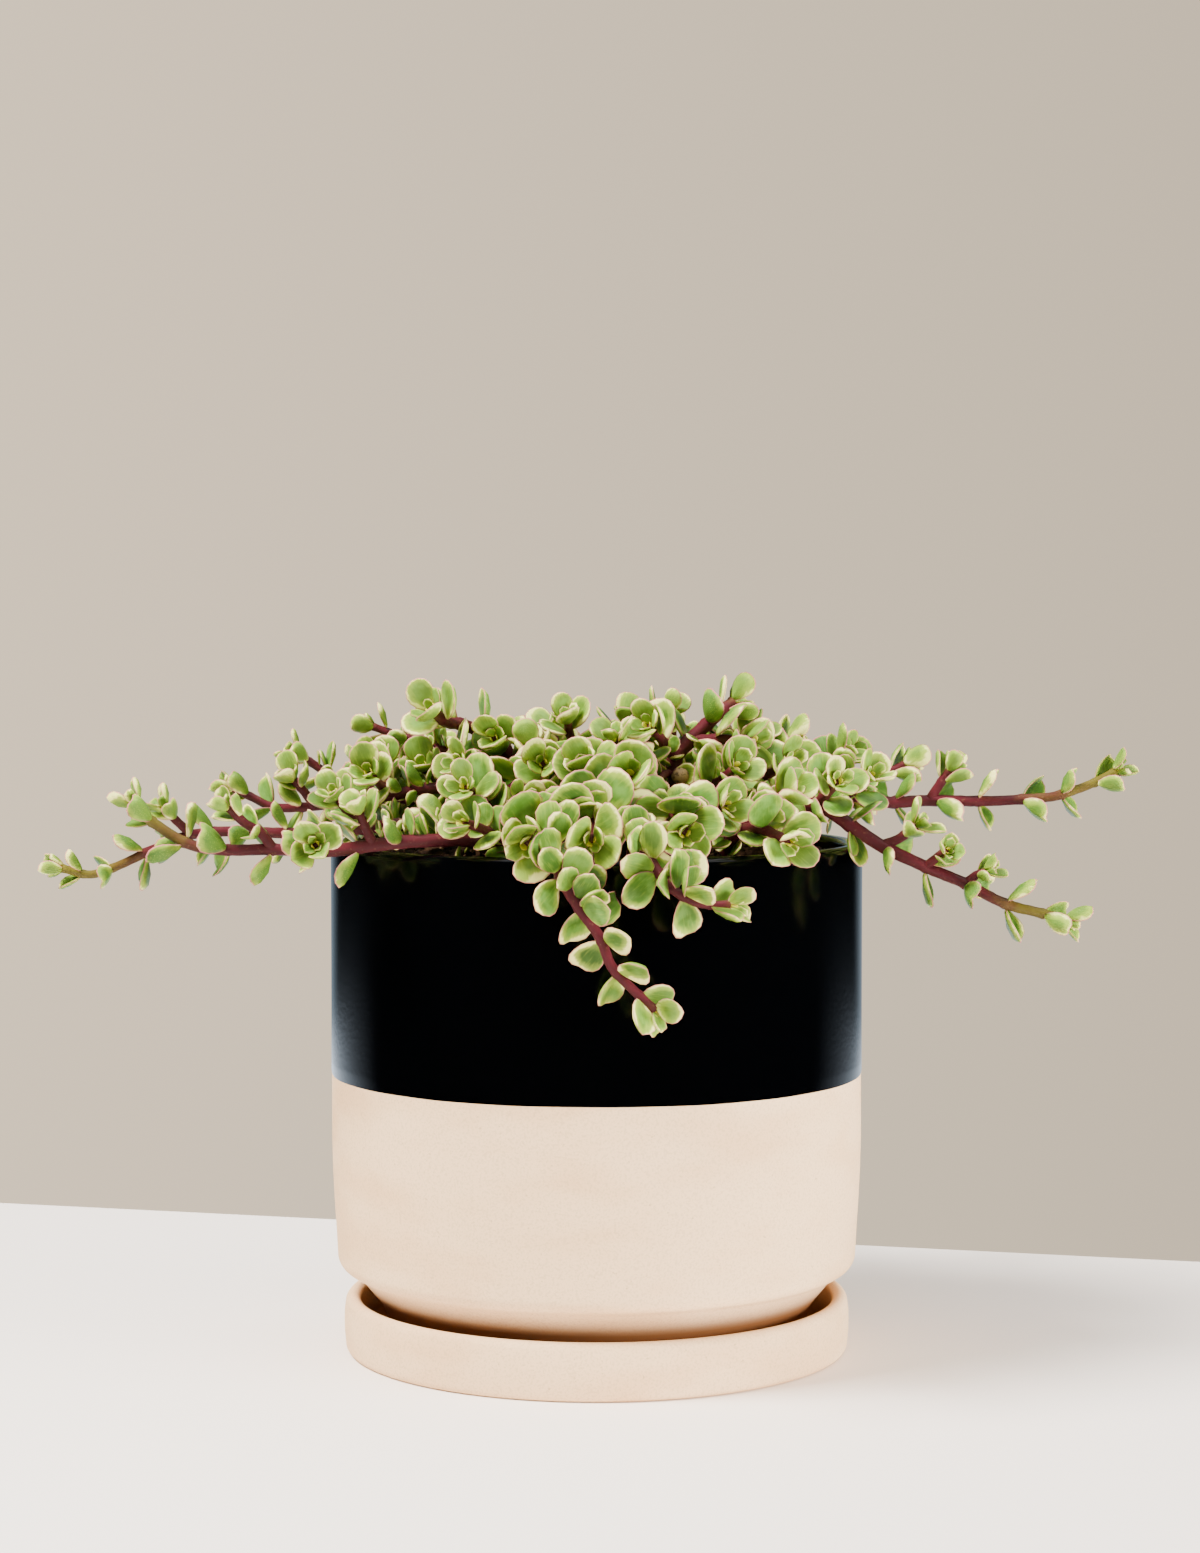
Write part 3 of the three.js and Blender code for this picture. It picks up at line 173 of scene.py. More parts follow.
# Every leafy stem, with its route from the bottom of its hole in the soil
STEMS = {
    "left_low": Stem(
        (2.2, 1.5),
        ((-20, -47, 147), (-34, -56, 160.3), (-50, -62, 161.8), (-65, -61, 160.4), (-80, -60, 158.5),
         (-94.5, -58, 159), (-109, -57, 158.8), (-120, -56, 160.6), (-131, -56, 167.6),
         (-135, -56, 172)),
        Leaves(13, 24, 10.5, 0.7, 25),
        (Shoot(
             5, (1.6, 1.2), ((-98, -60, 164), (-102.5, -62, 167), (-107, -63, 171.5)),
             Leaves(8, 4, 9, 0.72, 60),
         ),
         Shoot(4, (1.6, 1.3), ((-81, -65, 159.5), (-81, -71, 161)), Leaves(7, 3, 11.5, 0.84, 40)),
         Shoot(3, (1.6, 1.2), ((-67, -62, 165), (-69, -64, 170)), Leaves(7, 4, 11, 0.76, 10))),
    ),
    "left_trailing": Stem(
        (2.1, 1.2),
        ((-40, -26, 149), (-53, -32, 163.5), (-70, -38, 164), (-89, -38, 162.5), (-108, -37, 163),
         (-121, -36, 162), (-133, -36, 157.5), (-142.5, -36, 153), (-151.5, -36, 150),
         (-160, -36, 151.8)),
        Leaves(11, 26, 9.5, 0.68, 70),
        (Shoot(5, (1.5, 1.1), ((-125, -37, 165.5), (-129, -38, 170)), Leaves(8, 4, 10, 0.7, 20)),
         Shoot(2, (1.5, 1.2), ((-74, -42, 169), (-77, -46, 174)), Leaves(7, 4, 12, 0.8, 45))),
    ),
    "left_middle": Stem(
        (2.2, 1.2),
        ((-22, -13, 149), (-26, -15, 166), (-38, -19, 174.5), (-52, -20, 175), (-62, -20, 173),
         (-74, -18, 171.2), (-86, -17, 169.5), (-98, -16, 169), (-105, -16, 172), (-111, -16, 175)),
        Leaves(9.5, 26, 10, 0.7, 50),
        (Shoot(6, (1.5, 1.2), ((-89, -20, 174), (-92, -23, 178)), Leaves(7, 4, 10.5, 0.8, 30)),
         Shoot(4, (1.6, 1.2), ((-66, -26, 177), (-68, -32, 180)), Leaves(7, 4, 12.5, 0.82, 20))),
    ),
    "left_upper": Stem(
        (2.2, 1.2),
        ((-38, 4, 149), (-46, 4, 166), (-62, 2, 171.5), (-79, 0, 176.5), (-90, 0, 183),
         (-93, 0, 185)),
        Leaves(8.5, 26, 9.5, 0.7, 15),
        (Shoot(2, (1.7, 1.3), ((-65, -3, 178), (-67, -8, 183)), Leaves(7.5, 4, 12, 0.85, 70)),
         Shoot(1, (1.8, 1.3), ((-50, -2, 174), (-53, -11, 181)), Leaves(7.5, 4, 11.5, 0.88, 25))),
    ),
    "left_high": Stem(
        (2.1, 1.2),
        ((-26, 16, 149), (-30, 15, 170), (-41, 12, 182), (-53, 10, 187.2), (-65, 10, 191.2),
         (-70, 10, 193)),
        Leaves(8.5, 26, 9.5, 0.68, 80),
        (Shoot(2, (1.6, 1.2), ((-50, 16, 184), (-58, 20, 186)), Leaves(7, 5, 11, 0.82, 15)),),
    ),
    "left_arch": Stem(
        (2.6, 1.7),
        ((-15, 0, 149), (-19, -1, 168), (-25, -4, 181), (-28.8, -5, 187), (-35, -6, 191.2),
         (-41, -8, 194.2), (-46, -12, 195), (-49.5, -17, 198.5)),
        Leaves(8.5, 26, 13.5, 0.84, 50),
        (Shoot(3, (1.7, 1.3), ((-30, -12, 189), (-31, -17, 190)), Leaves(7, 4, 11.5, 0.85, 35)),
         Shoot(
             2, (1.8, 1.3), ((-31, -12, 178), (-37, -24, 181), (-41, -30, 183)),
             Leaves(8, 6, 11, 0.82, 10),
         )),
    ),
    "rim_left": Stem(
        (1.9, 1.2),
        ((-27, -58, 145), (-29, -61, 161), (-33, -66, 165.5), (-38, -71, 167.5)),
        Leaves(7, 19, 11, 0.82, 35, FRONT_LIGHT),
        (Shoot(1, (1.5, 1.1), ((-24, -66, 165), (-22, -70, 168)), Leaves(6, 5, 8.5, 0.62, 70)),),
    ),
    "left_front": Stem(
        (2.1, 1.3),
        ((-27, -34, 148), (-30, -38, 165), (-34, -47, 173), (-38, -57, 177)),
        Leaves(8, 20, 12, 0.74, 5, FRONT_LIGHT),
        (Shoot(1, (1.6, 1.2), ((-25, -44, 170), (-22, -52, 173)), Leaves(6.5, 5, 9.5, 0.66, 40)),),
    ),
    "front_left": Stem(
        (2.1, 1.5),
        ((-16, -50, 147), (-17, -57, 163), (-18, -70, 166.5), (-19.5, -83, 162.5)),
        Leaves(8, 20, 14.5, 0.92, 20, FRONT_LIGHT),
        (),
    ),
    "front_cascade": Stem(
        (2.1, 1.3),
        ((-8.5, -60, 146), (-9.5, -67, 159.5), (-11, -77, 163.4), (-12, -86, 161.4),
         (-10, -93, 153.5), (-4.7, -96, 145), (1, -97, 136.8), (4.5, -97, 128.4), (12, -97, 120.5),
         (16.5, -97, 116.5)),
        Leaves(10.5, 34, 11.5, 0.78, 50, FRONT_LIGHT),
        (),
    ),
    "front_rosette": Stem(
        (2.2, 1.5),
        ((1, -38, 148), (0.5, -47, 166), (-0.5, -66, 169.5), (-1.3, -84, 163.5)),
        Leaves(9, 20, 14.5, 0.9, 48, FRONT_LIGHT),
        (),
    ),
    "front_second": Stem(
        (2, 1.2),
        ((10, -62, 145), (10.5, -69, 159), (12, -79, 163.4), (15.5, -88.5, 158), (20, -94, 151.5),
         (26.5, -95, 147.2), (32, -94.5, 145.8), (37.5, -93, 145.8)),
        Leaves(10, 30, 11.5, 0.76, 40, FRONT_LIGHT),
        (),
    ),
    "front_right": Stem(
        (2.2, 1.5),
        ((21, -44, 148), (21.5, -51, 165), (23, -67, 170), (25, -83, 165.5)),
        Leaves(8.5, 20, 14, 0.88, 15, FRONT_LIGHT),
        (Shoot(1, (1.8, 1.3), ((29, -57, 169), (37, -66, 172)), Leaves(8, 7, 12.5, 0.8, 50)),),
    ),
    "right_rosette": Stem(
        (2.1, 1.4),
        ((36, -48, 147), (40, -53, 162), (47, -64, 165.5), (55, -75, 162.5)),
        Leaves(7.5, 19, 13, 0.84, 30, FRONT_LIGHT),
        (Shoot(1, (1.7, 1.3), ((49, -55, 171), (56, -60, 176)), Leaves(8, 5, 13, 0.86, 60)),),
    ),
    "right_low": Stem(
        (2.5, 1.4),
        ((46, -22, 148), (55, -27, 165.5), (66, -33, 170.5), (76, -38, 164.8), (85, -40, 159),
         (98, -43, 152.8), (109.5, -45, 148), (121, -47, 142.2), (131, -48, 139.6),
         (139, -48, 137.5)),
        Leaves(13, 28, 10.5, 0.7, 20),
        (Shoot(4, (1.6, 1.2), ((90, -41.5, 161), (95, -43, 165)), Leaves(8, 5, 10.5, 0.75, 15)),
         Shoot(5, (1.5, 1.1), ((101, -47, 156), (103, -52, 158)), Leaves(7, 3, 7.5, 0.85, 70)),
         Shoot(6, (1.4, 1), ((112.5, -46.5, 150.5), (115.5, -48, 152)), Leaves(6, 3, 7.5, 0.72, 35)),
         Shoot(2, (1.8, 1.3), ((69, -41, 175), (71, -47, 178)), Leaves(7.5, 5, 11.5, 0.78, 10))),
    ),
    "right_high": Stem(
        (2.4, 1.3),
        ((40, 4, 148), (49, 4.5, 166), (62, 5, 171), (76, 5, 170), (92, 5, 169.5), (104, 5, 170.1),
         (123, 4, 170), (138.5, 3, 171), (145, 2, 172.2), (155, 2, 175.8), (161.5, 2, 179.3)),
        Leaves(13, 30, 10.5, 0.66, 35),
        (Shoot(5, (1.7, 1.2), ((107, 4.5, 175), (110, 4, 179.5)), Leaves(7, 5, 10, 0.66, 70)),
         Shoot(3, (1.7, 1.2), ((80, -2, 174), (84, -8, 178)), Leaves(7, 5, 11.5, 0.76, 40)),
         Shoot(2, (1.8, 1.2), ((68, 4, 178), (76, 3, 185)), Leaves(7.5, 5, 11.5, 0.86, 25))),
    ),
    "trunk": Stem(
        (3.4, 1.8),
        ((19, -21, 147), (21.5, -19, 166), (23.5, -17, 177), (24, -15, 184), (28.5, -14, 189.5),
         (38, -10, 198), (42, -8, 201)),
        Leaves(8, 40, 11, 0.76, 45),
        (Shoot(2, (2.6, 2.6), ((24.5, -21, 178.6), (25.5, -25.5, 179)), None),
         Shoot(3, (1.8, 1.3), ((19, -20, 191), (16, -25, 194)), Leaves(7.5, 5, 12, 0.86, 20)),
         Shoot(
             1, (2, 1.4), ((29, -26, 173), (37, -36, 178), (41, -42, 182)),
             Leaves(8.5, 8, 13, 0.86, 60),
         ),
         Shoot(4, (1.8, 1.3), ((38, -17, 190), (46, -22, 190)), Leaves(8, 6, 13, 0.88, 20))),
    ),
    "centre_left": Stem(
        (2.2, 1.4),
        ((-10, -23, 147), (-12, -22, 166), (-16, -21, 177), (-20, -19, 187)),
        Leaves(8, 24, 13, 0.84, 15),
        (Shoot(2, (1.7, 1.3), ((-16, -28, 181), (-16, -34, 183)), Leaves(7.5, 5, 12.5, 0.88, 40)),
         Shoot(1, (1.7, 1.3), ((-14, -31, 169), (-15, -42, 171)), Leaves(8, 6, 11, 0.8, 75))),
    ),
    "centre_front": Stem(
        (2.3, 1.5),
        ((8, -24, 147), (8, -30, 166), (8.5, -43, 175), (9.5, -58, 180)),
        Leaves(8.5, 22, 14.5, 0.94, 70, FRONT_LIGHT),
        (Shoot(1, (1.9, 1.4), ((2, -35, 175), (-3, -44, 182)), Leaves(8.5, 7, 14.5, 0.94, 25)),
         Shoot(1, (1.8, 1.3), ((9, -26, 180), (6, -30, 190)), Leaves(8, 8, 12, 0.88, 50))),
    ),
    "centre_top": Stem(
        (2.6, 1.5),
        ((4, 2, 147), (4, 2, 168), (6, 0, 182), (9, -4, 195)),
        Leaves(8, 30, 11.5, 0.88, 10),
        (Shoot(
             1, (2, 1.3), ((-3, 3, 180), (-8, 0, 190), (-9, -4, 195)),
             Leaves(8, 10, 12, 0.86, 40),
         ),
         Shoot(2, (1.9, 1.3), ((15, 4, 190), (22, 3, 198)), Leaves(7.5, 7, 11, 0.84, 70))),
    ),
    "centre_right": Stem(
        (2.4, 1.4),
        ((32, 6, 147), (34, 4, 168), (40, 0, 182), (48, -3, 192)),
        Leaves(8, 28, 12.5, 0.86, 35),
        (Shoot(
             1, (2, 1.3), ((44, -8, 175), (54, -18, 180), (58, -24, 183)),
             Leaves(8, 8, 12.5, 0.82, 10),
         ),
         Shoot(2, (1.9, 1.3), ((50, 6, 184), (60, 6, 189)), Leaves(8, 6, 12.5, 0.88, 60))),
    ),
    "right_side": Stem(
        (2.3, 1.3),
        ((52, 24, 147), (60, 27, 163), (74, 31, 171), (88, 34, 175), (99, 36, 180)),
        Leaves(9, 24, 11.5, 0.78, 55),
        (Shoot(2, (1.7, 1.2), ((76, 24, 178), (80, 18, 183)), Leaves(7.5, 5, 11.5, 0.84, 30)),
         Shoot(1, (1.8, 1.3), ((59, 25, 175), (58, 22, 184)), Leaves(7.5, 7, 12, 0.88, 10))),
    ),
    "back_left": Stem(
        (2.3, 1.3),
        ((-38, 36, 147), (-45, 42, 164), (-54, 53, 172), (-62, 66, 174), (-68, 80, 170)),
        Leaves(9, 24, 12, 0.8, 35),
        (Shoot(1, (1.9, 1.3), ((-47, 38, 175), (-51, 36, 184)), Leaves(8, 7, 12, 0.86, 60)),
         Shoot(2, (1.7, 1.3), ((-66, 50, 175), (-77, 47, 178)), Leaves(8, 6, 11.5, 0.8, 20))),
    ),
    "back_middle": Stem(
        (2.5, 1.4),
        ((-10, 32, 147), (-12, 35, 166), (-14, 46, 178), (-15, 58, 186)),
        Leaves(8, 24, 12.5, 0.86, 15),
        (Shoot(1, (2, 1.3), ((-11, 30, 178), (-14, 26, 191)), Leaves(8, 8, 12, 0.86, 45)),
         Shoot(1, (2, 1.3), ((-24, 44, 172), (-33, 52, 178)), Leaves(8, 7, 12, 0.84, 10)),
         Shoot(2, (1.8, 1.3), ((-5, 54, 182), (3, 60, 185)), Leaves(8, 6, 12, 0.84, 70))),
    ),
    "back_right": Stem(
        (2.4, 1.4),
        ((24, 30, 147), (27, 34, 166), (32, 46, 177), (38, 58, 182)),
        Leaves(8, 24, 12.5, 0.86, 60),
        (Shoot(1, (2, 1.3), ((26, 28, 178), (24, 26, 191)), Leaves(8, 8, 12, 0.86, 15)),
         Shoot(1, (2, 1.3), ((38, 38, 176), (46, 40, 187)), Leaves(8, 8, 12, 0.84, 35)),
         Shoot(2, (1.8, 1.3), ((44, 54, 174), (57, 60, 175)), Leaves(8, 6, 11.5, 0.8, 5))),
    ),
    "back_trailing_left": Stem(
        (2.1, 1.2),
        ((-26, 56, 146), (-30, 63, 160.5), (-37, 77, 164.5), (-44, 92, 161), (-50, 106, 154),
         (-55, 119, 150), (-58, 127, 151)),
        Leaves(11, 26, 10.5, 0.7, 40),
        (Shoot(3, (1.5, 1.1), ((-39, 98, 164), (-36, 103, 168)), Leaves(8, 5, 10, 0.74, 15)),),
    ),
    "back_trailing_right": Stem(
        (2.2, 1.2),
        ((36, 52, 146), (41, 58, 162), (50, 71, 166), (58, 86, 163), (63, 101, 155), (67, 115, 147),
         (71, 126, 143)),
        Leaves(11, 26, 10.5, 0.7, 10),
        (Shoot(3, (1.5, 1.1), ((66, 89, 166), (71, 92, 170)), Leaves(8, 5, 10, 0.74, 50)),),
    ),
    "back_cascade": Stem(
        (2.1, 1.3),
        ((4, 58, 146), (5, 66, 160), (7, 77, 164), (9, 87, 161), (10, 94, 152), (8, 97, 142),
         (5, 98, 132), (6, 98, 124)),
        Leaves(10.5, 26, 11.5, 0.76, 35),
        (),
    ),
}


def unit(vector: Array) -> Array:
    """Return a vector at length one."""
    return vector / np.linalg.norm(vector)


def mix(low: float, high: float, part: float) -> float:
    """Return the value a part of the way from low to high."""
    return low + (high - low) * part


class Nodes:
    """Adds nodes to one node tree and links them."""

    # Places of the two colours and of their mixture on a Mix node
    FIRST = 6
    SECOND = 7
    MIXED = 2

    def __init__(self, tree: bpy.types.NodeTree) -> None:
        """Start with an empty tree.

        Args:
            tree: The node tree, of a material or of the world.
        """
        self.nodes = tree.nodes
        self.links = tree.links
        self.nodes.clear()

    def add(self, kind: str, inputs: dict | None = None, **settings: object) -> bpy.types.Node:
        """Add a node.

        Args:
            kind: The node's type name after "ShaderNode".
            inputs: Socket to value, or to another node's output.
            **settings: The node's own properties.

        Returns:
            The node.
        """
        node = self.nodes.new("ShaderNode" + kind)
        for name, value in settings.items():
            setattr(node, name, value)
        for socket, value in (inputs or {}).items():
            if isinstance(value, Socket):
                self.links.new(value, node.inputs[socket])
            else:
                node.inputs[socket].default_value = value
        return node

    def ramp(self, value: Socket, low: float, high: float, **settings: object) -> Socket:
        """Return 0 below low and 1 above high, straight between them unless the settings differ."""
        sockets = {"Value": value, "From Min": low, "From Max": high}
        return self.add("MapRange", sockets, **settings).outputs["Result"]

    def mix(self, part: float | Socket, a: Socket | Colour, b: Socket | Colour) -> Socket:
        """Return a colour the given part of the way from a to b.

        Args:
            part: The part, from 0 to 1.
            a: The first colour.
            b: The second colour.

        Returns:
            The mixture.
        """
        a, b = (end if isinstance(end, Socket) else (*end, 1.0) for end in (a, b))
        sockets = {0: part, self.FIRST: a, self.SECOND: b}
        return self.add("Mix", sockets, data_type="RGBA").outputs[self.MIXED]


class Shader(Nodes):
    """Makes one material."""

    def __init__(self, name: str) -> None:
        """Make a material of this name, with no nodes.

        Args:
            name: Name of the material.
        """
        self.material = bpy.data.materials.new(name)
        self.material.use_nodes = True
        super().__init__(self.material.node_tree)

    def maths(self, operation: str, *values: float | Socket) -> Socket:
        """Return the result of one operation on numbers."""
        return self.add("Math", dict(enumerate(values)), operation=operation).outputs[0]

    def centred(self, value: Socket, strength: float) -> Socket:
        """Return a number from 0 to 1 moved to lie about zero, times a strength."""
        return self.maths("MULTIPLY", self.maths("SUBTRACT", value, 0.5), strength)

    def attribute(self, name: str) -> Socket:
        """Return a number that the mesh holds at each point."""
        return self.add("Attribute", attribute_name=name).outputs["Fac"]

    def object_place(self) -> Socket:
        """Return the place on the object, in metres."""
        return self.add("TexCoord").outputs["Object"]

    def noise(self, place: Socket, scale: float, detail: float = 3.0) -> Socket:
        """Return a smooth random number from about 0 to 1 over a place."""
        return self.add("TexNoise", {"Vector": place, "Scale": scale, "Detail": detail}).outputs["Fac"]

    def step(self, value: Socket, low: float, high: float, most: float = 1.0) -> Socket:
        """Return 0 below low and the most above high, smooth between them."""
        part = self.ramp(value, low, high, interpolation_type="SMOOTHSTEP")
        return part if most == 1.0 else self.maths("MULTIPLY", part, most)

    def finish(
        self, colour: Socket, gloss: Pair, relief: tuple | None = None, more: dict | None = None
    ) -> Material:
        """End the material in one principled surface.

        Args:
            colour: The base colour.
            gloss: Roughness and specular level.
            relief: Height output, strength and height in metres of the bump, or None.
            more: Other sockets and their values.

        Returns:
            The material.
        """
        roughness, specular = gloss
        sockets = {"Base Color": colour, "Roughness": roughness, "Specular IOR Level": specular}
        surface = self.add("BsdfPrincipled", {**sockets, **(more or {})})
        if relief:
            height, strength, distance = relief
            bump = self.add("Bump", {"Height": height, "Strength": strength, "Distance": distance})
            self.links.new(bump.outputs["Normal"], surface.inputs["Normal"])
        self.add("OutputMaterial", {"Surface": surface.outputs["BSDF"]})
        return self.material


@dataclass(frozen=True)
class LeafFinish:
    """Colours of a leaf, from its green heart through lime and cream to its thin pink edge.

    Where the green turns to lime and cream depends on how far out a point lies, moved by noise and by
    the leaf's age and tone.

    Attributes:
        patches: Grain of broad patches, and how far they move the borders of the colours.
        rags: The same for ragged borders.
        outward: How far all borders move in, and how far more on a bud.
        deep_turns: How often the deep green comes and goes, for one of tone.
        glow: Weight, scale and reach of the light that passes through.
    """

    heart: Colour = (0.052, 0.134, 0.011)
    deep: Colour = (0.026, 0.076, 0.010)
    sage: Colour = (0.125, 0.264, 0.042)
    lime: Colour = (0.300, 0.412, 0.040)
    cream: Colour = (0.86, 0.82, 0.27)
    edge: Colour = (0.52, 0.125, 0.185)
    under: Colour = (0.060, 0.150, 0.018)
    bud: Colour = (0.66, 0.62, 0.04)
    apart: Pair = (37.0, 91.0)
    veins: float = 1.6
    vein_scale: Point = (9.0, 1.3, 1.0)
    vein_band: Band = (0.52, 0.72, 0.30)
    patches: tuple[Grain, float] = ((1.3, 1.0), 1.5)
    rags: tuple[Grain, float] = ((7.0,), 0.26)
    streaks: float = 0.30
    outward: Pair = (0.06, 0.10)
    tone_part: float = 0.30
    sage_grain: float = 2.3
    sage_band: Band = (0.35, 0.68)
    deep_turns: float = 13.0
    deep_band: Band = (0.45, 1.0, 0.75)
    under_grain: float = 34.0
    under_band: Band = (0.52, 0.70)
    under_part: float = 0.75
    lime_band: Band = (0.42, 0.92, 0.90)
    cream_band: Band = (0.84, 1.02, 0.95)
    lime_young: float = 0.34
    bud_band: Band = (0.93, 1.0)
    blush_rim: Band = (0.925, 0.985)
    blush_grain: float = 1.9
    blush_band: Band = (0.22, 0.46)
    blush_part: float = 0.85
    gloss: Pair = (0.40, 0.38)
    glow: tuple[float, float, Point] = (0.10, 0.0012, (0.8, 1.0, 0.3))
    relief_grain: float = 3.0
    relief: Pair = (0.16, 0.0003)

    def depth(self, s: Shader, own: Socket, veins: Socket, tone: Socket, young: Socket) -> Socket:
        """Return how far out a point counts as lying, from 0 at the leaf's middle to 1 at its rim.

        Args:
            s: The shader.
            own: Place on this leaf's own stretch of noise.
            veins: The veins, from 0 to 1.
            tone: The leaf's tone.
            young: The leaf's age, from 0 to 1 for a bud.

        Returns:
            The number.
        """
        patch = s.centred(s.noise(own, *self.patches[0]), self.patches[1])
        ragged = s.centred(s.noise(own, *self.rags[0]), self.rags[1])
        streak = s.centred(veins, self.streaks)
        all_out, young_out = self.outward
        rim = s.maths("ADD", s.attribute("edge"), patch)
        depth = s.maths("ADD", rim, s.maths("ADD", ragged, streak))
        depth = s.maths("ADD", depth, s.maths("MULTIPLY", young, young_out))
        inward = s.maths("MULTIPLY", tone, self.tone_part)
        return s.maths("SUBTRACT", s.maths("ADD", depth, all_out), inward)

    def green(self, s: Shader, own: Socket, veins: Socket, tone: Socket) -> Socket:
        """Return the green of the heart, paler on the back.

        Args:
            s: The shader.
            own: Place on this leaf's own stretch of noise.
            veins: The veins, from 0 to 1.
            tone: The leaf's tone.

        Returns:
            The colour.
        """
        green = s.mix(s.step(s.noise(own, self.sage_grain), *self.sage_band), self.heart, self.sage)
        shade = s.maths("FRACT", s.maths("MULTIPLY", tone, self.deep_turns))
        green = s.mix(s.step(shade, *self.deep_band), green, self.deep)
        green = s.mix(s.step(veins, *self.vein_band), green, self.lime)
        below = s.mix(s.step(s.noise(own, self.under_grain), *self.under_band), self.under, self.lime)
        back = s.maths("MULTIPLY", s.maths("SUBTRACT", 1.0, s.attribute("side")), self.under_part)
        return s.mix(back, green, below)

    def build(self) -> Material:
        """Return the material, which reads each leaf's own place, tone and age from the mesh.

        Returns:
            The material.
        """
        s = Shader("leaf")
        place = s.add("UVMap", uv_map="UVMap").outputs["UV"]
        tone, young = s.attribute("tone"), s.attribute("young")
        aside = {"XY"[i]: s.maths("MULTIPLY", tone, apart) for i, apart in enumerate(self.apart)}
        offset = s.add("CombineXYZ", aside).outputs[0]
        own = s.add("VectorMath", {0: place, 1: offset}, operation="ADD").outputs[0]
        long = s.add("Mapping", {"Vector": own, "Scale": self.vein_scale}).outputs[0]
        veins = s.noise(long, self.veins)
        depth = self.depth(s, own, veins, tone, young)
        colour = self.green(s, own, veins, tone)
        colour = s.mix(s.step(depth, *self.lime_band), colour, self.lime)
        colour = s.mix(s.step(depth, *self.cream_band), colour, self.cream)
        colour = s.mix(s.maths("MULTIPLY", young, self.lime_young), colour, self.lime)
        colour = s.mix(s.step(young, *self.bud_band), colour, self.bud)
        patchy = s.step(s.noise(own, self.blush_grain), *self.blush_band)
        blush = s.maths("MULTIPLY", s.step(s.attribute("edge"), *self.blush_rim), patchy)
        colour = s.mix(s.maths("MULTIPLY", blush, self.blush_part), colour, self.edge)
        weight, scale, reach = self.glow
        glow = {"Subsurface Weight": weight, "Subsurface Scale": scale, "Subsurface Radius": reach}
        relief = (s.noise(long, self.relief_grain), *self.relief)
        return s.finish(colour, self.gloss, relief, glow)


@dataclass(frozen=True)
class BarkFinish:
    """Colours of a stem from its woody root over its red middle to its young tip."""

    wood: Colour = (0.022, 0.009, 0.007)
    red: Colour = (0.075, 0.0098, 0.015)
    tip: Colour = (0.120, 0.100, 0.012)
    scar: Colour = (0.34, 0.22, 0.095)
    age_grain: float = 160.0
    age_part: float = 0.3
    red_band: Band = (0.16, 0.46)
    tip_band: Band = (0.88, 1.14)
    fleck_grain: float = 900.0
    fleck_band: Band = (0.6, 0.75, 0.15)
    core_band: Band = (0.50, 0.68, 0.7)
    gloss: Pair = (0.5, 0.3)
    relief_grain: float = 1400.0
    relief: Pair = (0.35, 0.0004)

    def build(self) -> Material:
        """Return the material, which reads the age of the bark and its cut ends from the mesh.

        Returns:
            The material.
        """
        s = Shader("bark")
        place = s.object_place()
        uneven = s.maths("MULTIPLY", s.noise(place, self.age_grain), self.age_part)
        age = s.maths("ADD", s.attribute("age"), uneven)
        colour = s.mix(s.step(age, *self.red_band), self.wood, self.red)
        colour = s.mix(s.step(age, *self.tip_band), colour, self.tip)
        fleck = s.noise(place, self.fleck_grain)
        colour = s.mix(s.step(fleck, *self.fleck_band), colour, self.scar)
        core = s.mix(s.step(fleck, *self.core_band), self.scar, self.wood)
        colour = s.mix(s.attribute("side"), colour, core)
        return s.finish(colour, self.gloss, (s.noise(place, self.relief_grain), *self.relief))


@dataclass(frozen=True)
class GlazeFinish:
    """Black glaze with a soft gloss and a faint grain."""

    black: Colour = (0.0003, 0.0004, 0.0006)
    speck: Colour = (0.004, 0.006, 0.008)
    speck_grain: float = 1500.0
    speck_band: Band = (0.68, 0.80)
    gloss: Pair = (0.15, 0.28)
    relief_grain: float = 700.0
    relief: Pair = (0.06, 0.0003)

    def build(self) -> Material:
        """Return the material.

        Returns:
            The material.
        """
        s = Shader("glaze")
        place = s.object_place()
        specks = s.step(s.noise(place, self.speck_grain), *self.speck_band)
        colour = s.mix(specks, self.black, self.speck)
        return s.finish(colour, self.gloss, (s.noise(place, self.relief_grain), *self.relief))


@dataclass(frozen=True)
class ClayFinish:
    """Bare fired clay: warm beige with faint clouds and fine pores, with painted shade in dark brown
    where it is sheltered.
    """

    pale: Colour = (0.850, 0.592, 0.346)
    warm: Colour = (0.765, 0.485, 0.255)
    pore: Colour = (0.42, 0.25, 0.14)
    # Painted shade: the dark brown the clay is given where it is sheltered from the light
    toast: Colour = (0.21, 0.085, 0.030)
    cloud_scale: Point = (1.0, 1.0, 2.8)
    cloud_grain: float = 24.0
    cloud_band: Band = (0.40, 0.72, 0.75)
    pore_grain: Grain = (1500.0, 2.0)
    pore_band: Band = (0.46, 0.66, 0.24)
    spot_grain: Grain = (900.0, 1.0)
    spot_band: Band = (0.735, 0.78, 0.45)
    gloss: Pair = (0.82, 0.25)
    relief: Pair = (0.22, 0.0003)

    def build(self) -> Material:
        """Return the material, which reads from the mesh how much painted shade it has.

        Returns:
            The material.
        """
        s = Shader("clay")
        place = s.object_place()
        flat = s.add("Mapping", {"Vector": place, "Scale": self.cloud_scale}).outputs[0]
        clouds = s.step(s.noise(flat, self.cloud_grain), *self.cloud_band)
        colour = s.mix(clouds, self.pale, self.warm)
        pores = s.noise(place, *self.pore_grain)
        colour = s.mix(s.step(pores, *self.pore_band), colour, self.pore)
        spots = s.step(s.noise(place, *self.spot_grain), *self.spot_band)
        colour = s.mix(spots, colour, self.pore)
        # Painted shade, in dark brown, where the mesh says the clay lies in shade
        colour = s.mix(s.attribute("toast"), colour, self.toast)
        return s.finish(colour, self.gloss, (pores, *self.relief))


